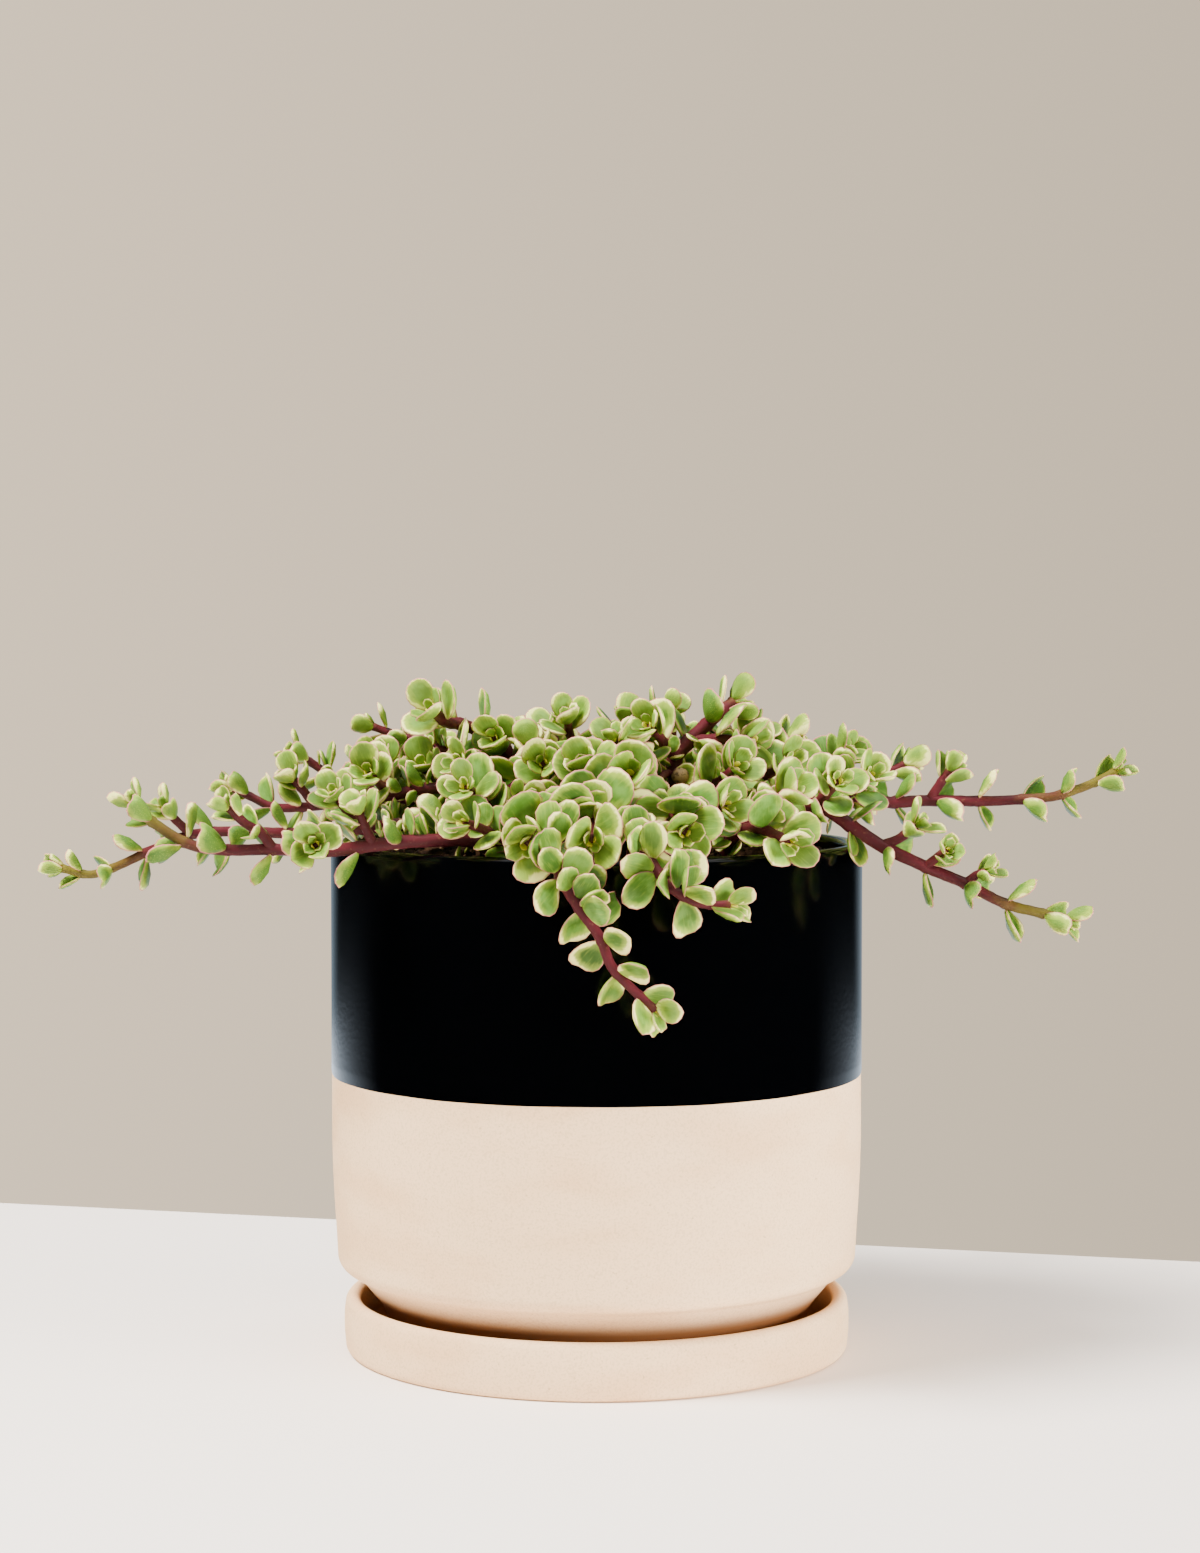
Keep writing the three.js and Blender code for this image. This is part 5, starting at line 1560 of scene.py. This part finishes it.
@dataclass(frozen=True)
class Sprigs:
    """How short leafy side shoots over bare soil are tried.

    Attributes:
        step: Stretch of stem between tries.
        tries: How many are tried at each place.
        length: Least and greatest length, seen from above.
        thick: Half-thickness at the root and at the tip.
        arch: How far the middle rises above a straight line.
        room: How far the tip keeps from the middle of every leaf.
        apart: How far the shoot keeps from the middle line of other stems.
        reach: Greatest distance of the tip from the pot's axis.
        front: Least place of the tip along Y.
        above: Least and greatest height of the tip over the soil.
        leaves: The rule for its leaves.
    """

    step: float = 4.0
    tries: int = 14
    length: Pair = (9.0, 24.0)
    thick: Pair = (1.3, 1.0)
    arch: float = 2.0
    room: float = 8.5
    apart: float = 3.5
    reach: float = 72.0
    front: float = -46.0
    above: Pair = (8.0, 17.0)
    leaves: Leaves = Leaves(5.5, 5.0, 11.5, 0.84, 0.0)


FILLING = Filling()
COVER = Filling(
    step=3.0, tries=24, turn=55.0, lean=(95.0, 150.0), roll=25.0, size=(0.85, 1.1), reach=120.0
)
SPRIGS = Sprigs()


@dataclass
class Growth:
    """What grows on one stem: its axes, its leaves and the small leaves between them."""

    name: str
    axes: list[Axis]
    leaves: list[Blade]
    small: list[Blade]


class Planting:
    """Places every leaf of the solids by their own rule, and then the smaller ones between them."""

    def __init__(self) -> None:
        """Make every axis, and let the leaves keep clear of all stems."""
        self.draws = Draws(SEED)
        self.axes = {name: self.axes_of(name, stem) for name, stem in STEMS.items()}
        self.obstacles: list[Blade | Stretch] = []
        for axes in self.axes.values():
            for axis in axes:
                self.obstacles += [Stretch(axis, i) for i in range(len(axis.points) - 1)]
        sight = Axis("sight", np.array(SIGHT_LINE, float), (SIGHT_RADIUS, SIGHT_RADIUS), None)
        self.obstacles.append(Stretch(sight, 0))
        self.centres = np.array([o.centre for o in self.obstacles])
        self.reaches = np.array([o.reach for o in self.obstacles])

    @staticmethod
    def axes_of(name: str, stem: Stem) -> list[Axis]:
        """Return the main axis of a stem and its side shoots.

        Args:
            name: Name of the stem.
            stem: Its routes.

        Returns:
            The axes, the main one first.
        """
        route = np.array(stem.route, float)
        axes = [Axis(name, route, stem.thick, stem.leaves)]
        for shoot in stem.shoots:
            points = np.vstack((route[shoot.start], np.array(shoot.route, float)))
            axes.append(Axis(name, points, shoot.thick, shoot.leaves))
        return axes

    def is_clear(self, leaf: Blade) -> bool:
        """Return whether a leaf keeps clear of the pot, the soil, the stems and the leaves so far.

        Args:
            leaf: The leaf.

        Returns:
            Whether it does.
        """
        if not clear_of_pot(leaf):
            return False
        distances = np.linalg.norm(self.centres - leaf.centre, axis=1)
        near = np.nonzero(distances <= leaf.reach + self.reaches + CLEAR_OTHER)[0]
        return all(self.is_apart(leaf, self.obstacles[i], distances[i]) for i in near)

    @staticmethod
    def is_apart(leaf: Blade, other: Blade | Stretch, distance: float) -> bool:
        """Return whether a leaf is clear of one obstacle whose centre is at the given distance.

        Args:
            leaf: The leaf.
            other: A leaf or a stretch of stem.
            distance: How far their centres are apart.

        Returns:
            Whether it is.
        """
        own = other.node == leaf.node
        room = CLEAR_OWN if own else CLEAR_OTHER
        if distance > leaf.reach + other.reach + room:
            return True
        if own:
            is_leaf = isinstance(other, Blade)
            away = np.linalg.norm(leaf.root - other.root) if is_leaf else other.distance(leaf.root)
            if away < NEAR_ROOT:
                return True
        return apart(leaf, other, room)

    def leaves_of(self, axis: Axis, spread: Callable[[float], float]) -> list[Blade]:
        """Return the leaves of an axis, in opposite pairs that each stand across the pair before.

        Args:
            axis: The stem or shoot.
            spread: Gives a chance number from minus a width to the width.

        Returns:
            The leaves.
        """
        rule, placed = axis.leaves, []
        for i, back in enumerate(axis.pair_places()):
            young = min(1.0, back / (YOUNG_GAPS * rule.gap))
            pair_turn = rule.turn + PAIR_TURN * i + spread(TURN_CHANCE)
            distance = axis.length - back - (TIP_BACK if i == 0 else 0)
            for half in OPPOSITE:
                lean = mix(TIP_LEAN, LEAF_LEAN, young) + spread(LEAN_CHANCE)
                roll = spread(ROLL_CHANCE)
                size = rule.size * mix(TIP_SIZE, 1, young) * (1 + spread(SIZE_CHANCE))
                length = size + axis.thick[1]
                width = length * (rule.broad + spread(BROAD_CHANCE))
                for lean_by, turn_by, scale in TRIES:
                    turn = pair_turn + half + turn_by
                    long, wide = length * scale, width * scale
                    leaf = Blade(axis, distance, turn, lean + lean_by, roll, long, wide)
                    if not self.is_clear(leaf):
                        continue
                    leaf.young = OLDEST_BUD * (1 - young)
                    self.keep(leaf)
                    placed.append(leaf)
                    break
        return placed

    def keep(self, thing: Blade | Stretch) -> None:
        """Let every later leaf keep clear of this leaf or stretch.

        Args:
            thing: The leaf or stretch.
        """
        self.obstacles.append(thing)
        self.centres = np.vstack((self.centres, thing.centre))
        self.reaches = np.append(self.reaches, thing.reach)

    def fill_of(self, axis: Axis, rule: Filling, places: Array, random: Random) -> list[Blade]:
        """Return smaller leaves between the pairs of an axis, inside the mound.

        At each place some leaves are tried, and the first that stands clear of all others stays.

        Args:
            axis: The stem or shoot.
            rule: How many leaves are tried, and of what size.
            places: How far along the axis they stand.
            random: Where their turns, leans and sizes come from.

        Returns:
            The leaves.
        """
        placed = []
        for distance in places:
            for _ in range(rule.tries):
                turn = random.normal(0, rule.turn)
                lean = random.uniform(*rule.lean)
                roll = random.uniform(-rule.roll, rule.roll)
                length = axis.leaves.size * random.uniform(*rule.size)
                width = length * axis.leaves.broad * random.uniform(*rule.broad)
                leaf = Blade(axis, distance, turn, lean, roll, length, width)
                far = np.hypot(leaf.centre[0], leaf.centre[1]) > rule.reach
                if far or leaf.corners[:, 2].max() > rule.top or not self.is_clear(leaf):
                    continue
                leaf.young = random.uniform(*rule.young)
                self.keep(leaf)
                placed.append(leaf)
                break
        return placed

    def sprig(self, axis: Axis, distance: float, rule: Sprigs, random: Random) -> Axis | None:
        """Return one side shoot that ends over bare soil, or None where there is no room for it.

        Args:
            axis: The stem that it leaves.
            distance: How far along the stem.
            rule: Its size, and where its tip may be.
            random: Where its heading and length come from.

        Returns:
            The shoot.
        """
        i = axis.stretch(distance)
        part = (distance - axis.distances[i - 1]) / (axis.distances[i] - axis.distances[i - 1])
        start = mix(axis.points[i - 1], axis.points[i], part)
        heading, length = random.uniform(0, FULL_TURN), random.uniform(*rule.length)
        flat = np.array((math.cos(heading), math.sin(heading), 0.0)) * length
        end = start + flat
        radius = float(np.hypot(end[0], end[1]))
        if radius > rule.reach or end[1] < rule.front:
            return None
        end[2] = SOIL.height(radius) + random.uniform(*rule.above)
        points = np.vstack((start, mix(start, end, 0.5) + (0, 0, rule.arch), end))
        if start[2] < SOIL.height(float(np.hypot(start[0], start[1]))) + rule.above[0] / 2:
            return None
        if np.linalg.norm(self.centres - end, axis=1).min() < rule.room:
            return None
        leaves = replace(rule.leaves, turn=random.uniform(0, PAIR_TURN))
        shoot = Axis(axis.node, points, rule.thick, leaves)
        for k in range(len(points) - 1):
            stretch = Stretch(shoot, k)
            near = np.linalg.norm(self.centres - stretch.centre, axis=1) < stretch.reach + self.reaches
            for j in np.nonzero(near)[0]:
                other = self.obstacles[j]
                if isinstance(other, Blade):
                    is_free = apart(other, stretch, CLEAR_OWN)
                else:
                    is_root = other.node == axis.node and k == 0
                    is_free = is_root or other.distance(stretch.centre) >= rule.apart
                if not is_free:
                    return None
        return shoot

    def sprigs_of(self, axis: Axis, rule: Sprigs, random: Random) -> list[tuple[Axis, list[Blade]]]:
        """Return the side shoots of a stem over bare soil, each with its leaves.

        Args:
            axis: The stem.
            rule: Their size, and where they may end.
            random: Where their headings and lengths come from.

        Returns:
            Each shoot with its leaves.
        """
        grown = []
        for distance in np.arange(rule.step, axis.length, rule.step):
            for _ in range(rule.tries):
                shoot = self.sprig(axis, distance, rule, random)
                if shoot is None:
                    continue
                for k in range(len(shoot.points) - 1):
                    self.keep(Stretch(shoot, k))
                leaves = self.leaves_of(shoot, lambda width: random.uniform(-width, width))
                grown.append((shoot, leaves))
                break
        return grown

    def grow(self) -> list[Growth]:
        """Return what grows on each stem. All leaves of the solids are placed before any other.

        Returns:
            One growth a stem.
        """
        grown = {}
        for name, axes in self.axes.items():
            leafy = [axis for axis in axes if axis.leaves]
            leaves = [leaf for axis in leafy for leaf in self.leaves_of(axis, self.draws.spread)]
            grown[name] = Growth(name, list(axes), leaves, [])
        random = np.random.default_rng(SEED)
        for name, (first, last) in COVERED.items():
            places = np.arange(first, last, COVER.step)
            grown[name].small += self.fill_of(self.axes[name][0], COVER, places, random)
        for growth in grown.values():
            for shoot, leaves in self.sprigs_of(growth.axes[0], SPRIGS, random):
                growth.axes.append(shoot)
                growth.leaves += leaves
        for growth in grown.values():
            for axis in growth.axes:
                if axis.leaves:
                    places = np.arange(FILLING.step / 2, axis.length - FILLING.tip, FILLING.step)
                    growth.small += self.fill_of(axis, FILLING, places, random)
        return list(grown.values())


def rows_of(blades: list[Blade], name: str) -> Array:
    """Return one property of every leaf, shaped to spread over the points of each."""
    values = np.array([getattr(blade, name) for blade in blades])
    return values.reshape(len(blades), 1, -1)


@dataclass(frozen=True)
class LeafForm:
    """The grid of a leaf about its own middle: spokes round it, and rings on its face and its back.

    Places across and along a leaf are in parts of its width and length, from its root.

    Attributes:
        face_rings: How far out each ring on the face lies, from 0 at its middle to 1 at its rim.
        back_rings: The same on the back, from the rim inwards.
        slim: Least and greatest power that narrows the leaf to its root.
        waves: Height of two and of three waves round the rim.
        cup: Least and greatest rise of the rim, which is full at cup_end.
        trough: How much more a leaf is folded over a distance past trough_from the axis.
    """

    spokes: int
    face_rings: tuple[float, ...]
    back_rings: tuple[float, ...]
    middle: float = 0.56
    face: float = 0.035
    face_power: int = 6
    back: float = 0.125
    back_power: float = 0.6
    slim: Pair = (0.20, 0.42)
    waves: Pair = (0.02, 0.015)
    cup: Pair = (-0.02, 0.09)
    cup_end: float = 0.5
    bend: Pair = (-0.16, 0.10)
    bend_from: float = 0.25
    fold: Pair = (0.0, 0.16)
    trough: float = 0.34
    trough_from: float = 80.0
    trough_over: float = 25.0

    def rims(self, count: int, random: Random) -> tuple[Array, Array]:
        """Return the rims of some leaves.

        The half-width grows with the place along the leaf, y, as sqrt(y (1 - y)) times y to a power, so
        the leaf is round beyond its middle and narrows to its root.

        Args:
            count: How many leaves there are.
            random: Where the power and the waves of each come from.

        Returns:
            The place across and the place along, one row a leaf and one column a spoke.
        """
        angle = ring_angles(self.spokes)
        power = random.uniform(*self.slim, (count, 1))
        widest = (0.5 + power) / (1 + power)
        full = 2 * np.sqrt(widest * (1 - widest)) * widest**power
        along = (1 - np.cos(angle))[None, :] / 2
        across = 0.5 * np.sin(angle)[None, :] * along**power / full
        phase = random.uniform(0, FULL_TURN, (count, 2, 1))
        two, three = self.waves
        wave = 1 + two * np.sin(2 * angle + phase[:, 0]) + three * np.sin(3 * angle + phase[:, 1])
        return across * wave, self.middle + (along - self.middle) * (1 + (wave - 1) * 0.5)

    def spread(self, rim: Array, middle: float) -> Array:
        """Return a place across or along of every point: rings that shrink to the middle, and two ends.

        Args:
            rim: The place on the rim, one row a leaf.
            middle: The place of its middle.

        Returns:
            The place, one row a leaf and one column a point.
        """
        out = np.array((*self.face_rings, 1.0, *self.back_rings))
        rings = middle + (rim[:, None, :] - middle) * out[None, :, None]
        ends = np.full((len(rim), 2), middle)
        return np.concatenate((rings.reshape(len(rim), -1), ends), axis=1)

    def heights(self, blades: list[Blade], x: Array, y: Array, random: Random) -> Array:
        """Return how far each point stands out from its leaf's middle plane.

        The face is nearly flat with a rounded rim, and the back is full. Each leaf is cupped, bent and
        folded a little in its own way, and past the pot's rim it is folded to a trough.

        Args:
            blades: The leaves.
            x: Place across.
            y: Place along.
            random: Where the cup, bend and fold of each leaf come from.

        Returns:
            The heights, in parts of each leaf's length.
        """
        count = len(blades)
        t, on_face = self.places()
        round_face = self.face * np.sqrt(1 - t**self.face_power)
        round_back = -self.back * (1 - t**2) ** self.back_power
        z = np.where(on_face, round_face, round_back)[None, :]
        cup = random.uniform(*self.cup, (count, 1))
        bend = random.uniform(*self.bend, (count, 1))
        fold = random.uniform(*self.fold, (count, 1))
        root = np.array([blade.root for blade in blades])
        outside = (np.hypot(root[:, 0], root[:, 1]) - self.trough_from) / self.trough_over
        fold = fold + self.trough * np.clip(outside, 0, 1)[:, None]
        z = z + cup * t**2 * np.minimum(1, y / self.cup_end)
        return z + bend * (y - self.bend_from) ** 2 + fold * np.abs(x) * y

    def places(self) -> tuple[Array, Array]:
        """Return how far out each point of a leaf lies, and whether it is on the face.

        Returns:
            Two numbers a point.
        """
        out = np.array((*self.face_rings, 1.0, *self.back_rings))
        on_face = np.arange(len(out)) <= len(self.face_rings)
        places = np.append(np.repeat(out, self.spokes), (0, 0))
        return places, np.append(np.repeat(on_face, self.spokes), (True, False))

    def build(self, blades: list[Blade], random: Random) -> Surface:
        """Return all the leaves of one stem.

        Args:
            blades: The leaves, with their place, size and age.
            random: Where each leaf's own form and tone come from.

        Returns:
            The surface, with each point's edge, side, tone and young.
        """
        count = len(blades)
        across, along = self.rims(count, random)
        x, y = self.spread(across, 0.0), self.spread(along, self.middle)
        z = self.heights(blades, x, y, random)
        root = rows_of(blades, "root") + rows_of(blades, "shift")
        aside = x[..., None] * rows_of(blades, "width") * rows_of(blades, "wide")
        lengthwise = y[..., None] * rows_of(blades, "along") + z[..., None] * rows_of(blades, "look")
        points = root + aside + rows_of(blades, "length") * lengthwise
        each = points.shape[1]
        rings = each - 2
        starts = (each * np.arange(count))[:, None, None]
        quads = (grid_faces(rings // self.spokes, self.spokes)[None] + starts).reshape(-1, 4)
        tris = (end_faces(rings, self.spokes)[None] + starts).reshape(-1, 3)
        t, on_face = self.places()
        numbers = {
            "edge": np.tile(t, count),
            "side": np.tile(on_face.astype(float), count),
            "tone": np.repeat(random.uniform(0, 1, count), each),
            "young": np.repeat([blade.young for blade in blades], each),
        }
        places = np.stack((x + 0.5, y), axis=-1).reshape(-1, 2)
        return Surface(points.reshape(-1, 3), quads, tris, numbers, places)


LARGE_LEAF = LeafForm(16, (0.86,), (0.72,))
FILL_LEAF = LeafForm(12, (0.85,), (0.72,))
SMALL_LEAF = LeafForm(8, (0.75,), (0.7,))


@dataclass
class LeafyStem:
    """One leafy stem: smooth bark, a fine leaf for every blade, and small young leaves at the tips.

    Attributes:
        rough: How far the bark's points stray in and out, at a half-thickness of rough_at.
        long: Length past which the tip of an axis is as young as it gets.
        ages: Age at the root of a side shoot and at the tip of a short axis, where 1 is the youngest.
        tip_pairs: Part of the usual length, lean and age of each pair that unfolds at a tip.
    """

    growth: Growth
    step: float = 1.3
    swell: float = 0.16
    swell_reach: float = 0.8
    rough: float = 0.05
    rough_at: float = 3.0
    long: float = 110.0
    ages: Pair = (0.35, 0.78)
    tip_pairs: Points = ((0.52, 36, 0.5), (0.32, 26, 0.9), (0.18, 12, 1.0))
    tip_turn: float = 12.0
    tip_size: Pair = (0.85, 1.15)
    tip_longer: float = 0.6
    tip_slim: float = 0.85
    tip_back: float = 0.3
    tip_dome: float = 0.5
    random: Random = field(init=False)

    def __post_init__(self) -> None:
        """Seed the stem's own chance numbers with its name."""
        self.random = np.random.default_rng([SEED, *self.growth.name.encode()])

    @staticmethod
    def shift(blade: Blade) -> Array:
        """Return how far the smooth curve lies from the straight stretch where a leaf stands.

        Args:
            blade: The leaf.

        Returns:
            The shift, in millimetres.
        """
        axis, i = blade.axis, blade.axis.stretch(blade.distance)
        part = (blade.distance - axis.distances[i - 1]) / (axis.distances[i] - axis.distances[i - 1])
        straight = mix(axis.points[i - 1], axis.points[i], part)
        return axis.smooth(i, np.array([part]))[0] - straight

    def tip_leaves(self) -> list[Blade]:
        """Return the small pairs that unfold at the tips.

        Returns:
            The leaves.
        """
        small = []
        for axis in self.growth.axes:
            if not axis.leaves:
                continue
            slim = axis.leaves.broad * self.tip_slim
            for i, (share, lean, young) in enumerate(self.tip_pairs):
                chance = self.random.uniform(-self.tip_turn, self.tip_turn)
                turn = axis.leaves.turn + PAIR_TURN * (i + 1) + chance
                for half in OPPOSITE:
                    part = share * self.random.uniform(*self.tip_size)
                    length = axis.leaves.size * part + self.tip_longer
                    place = axis.length - self.tip_back
                    leaf = Blade(axis, place, turn + half, lean, 0, length, length * slim)
                    leaf.young = young
                    small.append(leaf)
        return small

    def middle_line(self, axis: Axis) -> tuple[Array, Array]:
        """Return points along the smooth curve of an axis, and how far along it each lies.

        Args:
            axis: The stem or shoot.

        Returns:
            The points, one row each, and their distances.
        """
        places, along = [], []
        for i in range(1, len(axis.points)):
            span = axis.distances[i] - axis.distances[i - 1]
            part = np.linspace(0, 1, max(2, math.ceil(span / self.step)), endpoint=False)
            places.append(axis.smooth(i, part))
            along.append(axis.distances[i - 1] + part * span)
        return np.vstack((*places, axis.points[-1])), np.append(np.concatenate(along), axis.length)

    @staticmethod
    def across(tangents: Array) -> Array:
        """Return a direction across each of a row of tangents, carried on with no twist.

        Args:
            tangents: One row a direction.

        Returns:
            One row a direction.
        """
        slanting = abs(tangents[0, 0]) < UP_LIMIT
        last = np.array((1.0, 0.0, 0.0)) if slanting else np.array((0.0, 1.0, 0.0))
        rows = []
        for tangent in tangents:
            last = unit(last - last.dot(tangent) * tangent)
            rows.append(last)
        return np.array(rows)

    def bark(self, axis: Axis, first: bool) -> Surface:
        """Return the bark of one axis.

        Rings stand square to the smooth curve: the point at an angle lies cosine times one direction
        across plus sine times the other, times the half-thickness. That is swollen as a bell curve
        where leaves stand, and a little rough.

        Args:
            axis: The stem or shoot.
            first: Whether it is the main axis, which is older at its root.

        Returns:
            The closed surface, with each point's age, and whether it is on the cut end of a branch.
        """
        places, along = self.middle_line(axis)
        tangents = np.gradient(places, axis=0)
        tangents /= np.linalg.norm(tangents, axis=1)[:, None]
        across = self.across(tangents)
        over = np.cross(tangents, across)
        part = along / axis.length
        nodes = axis.length - np.array(axis.pair_places() if axis.leaves else [axis.length])
        swell = np.exp(-(((along[:, None] - nodes) / self.swell_reach) ** 2)).sum(axis=1)
        radius = (mix(axis.thick[0], axis.thick[1], part) * (1 + self.swell * swell))[:, None]
        angle = ring_angles(STEM_SIDES)[None, :, None]
        chance = self.random.normal(size=(len(places), STEM_SIDES))
        rough = 1 + self.rough * chance * radius / self.rough_at
        rings = across[:, None] * np.cos(angle) + over[:, None] * np.sin(angle)
        points = places[:, None] + rings * (radius * rough)[..., None]
        dome = tangents[-1] * axis.thick[1] * self.tip_dome
        ends = np.array((places[0], places[-1] + dome))
        count = len(places) * STEM_SIDES
        root_age, tip_age = self.ages
        age = mix(0.0 if first else root_age, 1.0 if axis.length > self.long else tip_age, part)
        age = np.append(np.repeat(age, STEM_SIDES), (age[0], age[-1]))
        cut = np.zeros(count + 2)
        if not axis.leaves:
            cut[count - STEM_SIDES :] = 1
            cut[-2] = 0
        points = np.vstack((points.reshape(-1, 3), ends))
        quads = grid_faces(len(places), STEM_SIDES)
        return Surface(points, quads, end_faces(count, STEM_SIDES), {"age": age, "side": cut})

    def build(self, bark: Material, leaf: Material) -> Piece:
        """Return the stem with its leaves as one piece.

        Args:
            bark: The finish of the stem.
            leaf: The finish of the leaves.

        Returns:
            The piece.
        """
        growth = self.growth
        parts = [(self.bark(axis, i == 0), bark) for i, axis in enumerate(growth.axes)]
        kinds = (growth.leaves, growth.small, self.tip_leaves())
        for form, blades in zip((LARGE_LEAF, FILL_LEAF, SMALL_LEAF), kinds):
            for blade in blades:
                blade.shift = self.shift(blade)
            if blades:
                parts.append((form.build(blades, self.random), leaf))
        return make_piece("leafy_" + growth.name, parts)


@dataclass(frozen=True)
class Lamp:
    """A soft lamp: where it stands, what it looks at, its size, its power and its colour."""

    name: str
    place: Point
    target: Point
    size: Pair
    power: float
    colour: Colour = (1.0, 1.0, 1.0)
    glossy: bool = True

    def build(self) -> None:
        """Add the lamp."""
        light = bpy.data.lights.new(self.name, "AREA")
        light.shape = "RECTANGLE"
        light.size, light.size_y = self.size
        light.energy = self.power
        light.color = self.colour
        lamp = bpy.data.objects.new(self.name, light)
        bpy.context.scene.collection.objects.link(lamp)
        lamp.location = self.place
        away = Vector(self.target) - Vector(self.place)
        lamp.rotation_euler = away.to_track_quat("-Z", "Y").to_euler()
        lamp.visible_glossy = self.glossy
        lamp.visible_camera = False


@dataclass(frozen=True)
class View:
    """The camera: the photograph's size, focal length and middle in its pixels, and where it stands.

    Attributes:
        axis: Where the pot's axis lies across the photograph.
        clip: Nearest and furthest thing it sees, in metres.
    """

    width: int = 1200
    height: int = 1553
    focal: float = 3176.24
    axis: float = 596.58
    back: float = 986.09
    above: float = 221.24
    pitch: float = 0.044
    sensor: float = 36.0
    clip: Pair = (0.05, 50.0)

    def build(self) -> None:
        """Add the camera, which looks along +Y and a little down, with no shift."""
        data = bpy.data.cameras.new("camera")
        data.sensor_width = self.sensor
        data.lens = self.focal / self.height * self.sensor
        data.clip_start, data.clip_end = self.clip
        camera = bpy.data.objects.new("camera", data)
        aside = (self.width / 2 - self.axis) * self.back / self.focal
        camera.location = (aside * MM, -self.back * MM, self.above * MM)
        camera.rotation_euler = (math.pi / 2 - self.pitch, 0, 0)
        bpy.context.scene.collection.objects.link(camera)
        bpy.context.scene.camera = camera


@dataclass(frozen=True)
class Studio:
    """The pale floor, the beige surroundings, the lamps and the camera, in metres.

    Attributes:
        aside: From where to where, left to right, the colours of the surroundings change.
        glow: Colour that a gloss sees behind the pot on the left and on the right.
        flare: The same for the brighter glow low down.
    """

    view: View = View()
    lamps: tuple[Lamp, ...] = (
        Lamp("key", (-0.85, -0.40, 1.45), (0, 0, 0.08), (0.6, 0.6), 102.0, (1.0, 0.97, 0.93), False),
        Lamp("top", (0.2, -0.3, 1.6), (0, 0, 0.1), (1.9, 1.9), 20.0),
        Lamp("fill", (1.62, -0.78, 0.30), (0, 0, 0.05), (1.1, 0.5), 86.0, (1.0, 0.98, 0.96), False),
    )
    aside: Pair = (-0.2, 0.2)
    walls: tuple[Colour, Colour] = ((1.20, 0.98, 0.72), (0.86, 0.71, 0.53))
    ambient: Colour = (0.50, 0.475, 0.43)
    glow: tuple[Colour, Colour] = ((0.44, 0.58, 0.70), (0.50, 0.62, 0.74))
    glow_reach: Pair = (0.84, 1.0)
    flare: tuple[Colour, Colour] = ((1.92, 2.24, 2.60), (1.18, 1.38, 1.60))
    flare_reach: Pair = (0.33, 0.95)
    flare_fall: Pair = (-0.119, -0.137)
    floor_back: tuple[Pair, Pair] = ((-0.2333, 0.2473), (0.2137, 0.1301))
    floor_side: float = 3.0
    floor_front: float = -3.0

    def floor(self, material: Material) -> None:
        """Add the floor, whose back edge runs a little aslant, as in the photograph.

        Args:
            material: Its finish.
        """
        (x0, y0), (x1, y1) = self.floor_back
        slope = (y1 - y0) / (x1 - x0)
        side = self.floor_side
        corners = [(x, self.floor_front, 0) for x in (-side, side)]
        corners += [(x, y0 + slope * (x - x0), 0) for x in (side, -side)]
        mesh = bpy.data.meshes.new("floor")
        mesh.from_pydata(corners, [], [(0, 1, 2, 3)])
        mesh.materials.append(material)
        floor = bpy.data.objects.new("floor", mesh)
        floor.visible_glossy = False
        bpy.context.scene.collection.objects.link(floor)

    def surroundings(self) -> None:
        """Light the scene softly from all round.

        The camera sees a beige wall, with painted light that makes it lighter on the left. A gloss sees
        a blue glow behind the pot, which is brighter and wider low down, and nothing in front of it.
        """
        world = bpy.data.worlds.new("studio")
        bpy.context.scene.world = world
        world.use_nodes = True
        sky = Nodes(world.node_tree)
        place = sky.add("TexCoord").outputs["Generated"]
        direction = sky.add("SeparateXYZ", {0: place}).outputs
        ray = sky.add("LightPath").outputs
        aside = sky.ramp(direction["X"], *self.aside)
        black = (0, 0, 0)
        glow = sky.mix(sky.ramp(direction["Y"], *self.glow_reach), black, sky.mix(aside, *self.glow))
        flare = sky.mix(sky.ramp(direction["Y"], *self.flare_reach), black, sky.mix(aside, *self.flare))
        gloss = sky.mix(sky.ramp(direction["Z"], *self.flare_fall), glow, flare)
        light = sky.mix(ray["Is Glossy Ray"], self.ambient, gloss)
        # The wall's fade from lighter on the left to darker on the right is painted light
        colour = sky.mix(ray["Is Camera Ray"], light, sky.mix(aside, *self.walls))
        background = sky.add("Background", {"Color": colour}).outputs[0]
        sky.add("OutputWorld", {"Surface": background})

    def build(self, floor: Material) -> None:
        """Add everything that isn't part of the object.

        Args:
            floor: The finish of the floor.
        """
        self.view.build()
        self.floor(floor)
        self.surroundings()
        for lamp in self.lamps:
            lamp.build()


def place(piece: Piece, node: str, slot: str) -> None:
    """Let a piece stand for a solid of the frame: hang it on the body and hide the solid.

    Args:
        piece: The piece.
        node: Name of the solid.
        slot: Name of the slot. Not used.
    """
    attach(piece, BODY)
    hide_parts(node)


def main() -> None:
    """Build the scene around the frame."""
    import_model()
    finishes = {finish: finish.value.build() for finish in Finish}
    Studio().build(finishes[Finish.FLOOR])
    place(POT.build(finishes[Finish.GLAZE], finishes[Finish.CLAY]), "pot", "glaze")
    place(SAUCER.build(finishes[Finish.CLAY]), "saucer", "clay")
    place(SOIL.build(finishes[Finish.SOIL]), "soil", "soil")
    log.info("pot, saucer and soil are dressed")
    for growth in Planting().grow():
        piece = LeafyStem(growth).build(finishes[Finish.BARK], finishes[Finish.LEAF])
        place(piece, "stem_" + growth.name, "foliage")
        counts = len(growth.axes), len(growth.leaves), len(growth.small)
        log.info("%s: %d axes, %d leaves and %d small ones", growth.name, *counts)


if __name__ == "__main__":
    main()
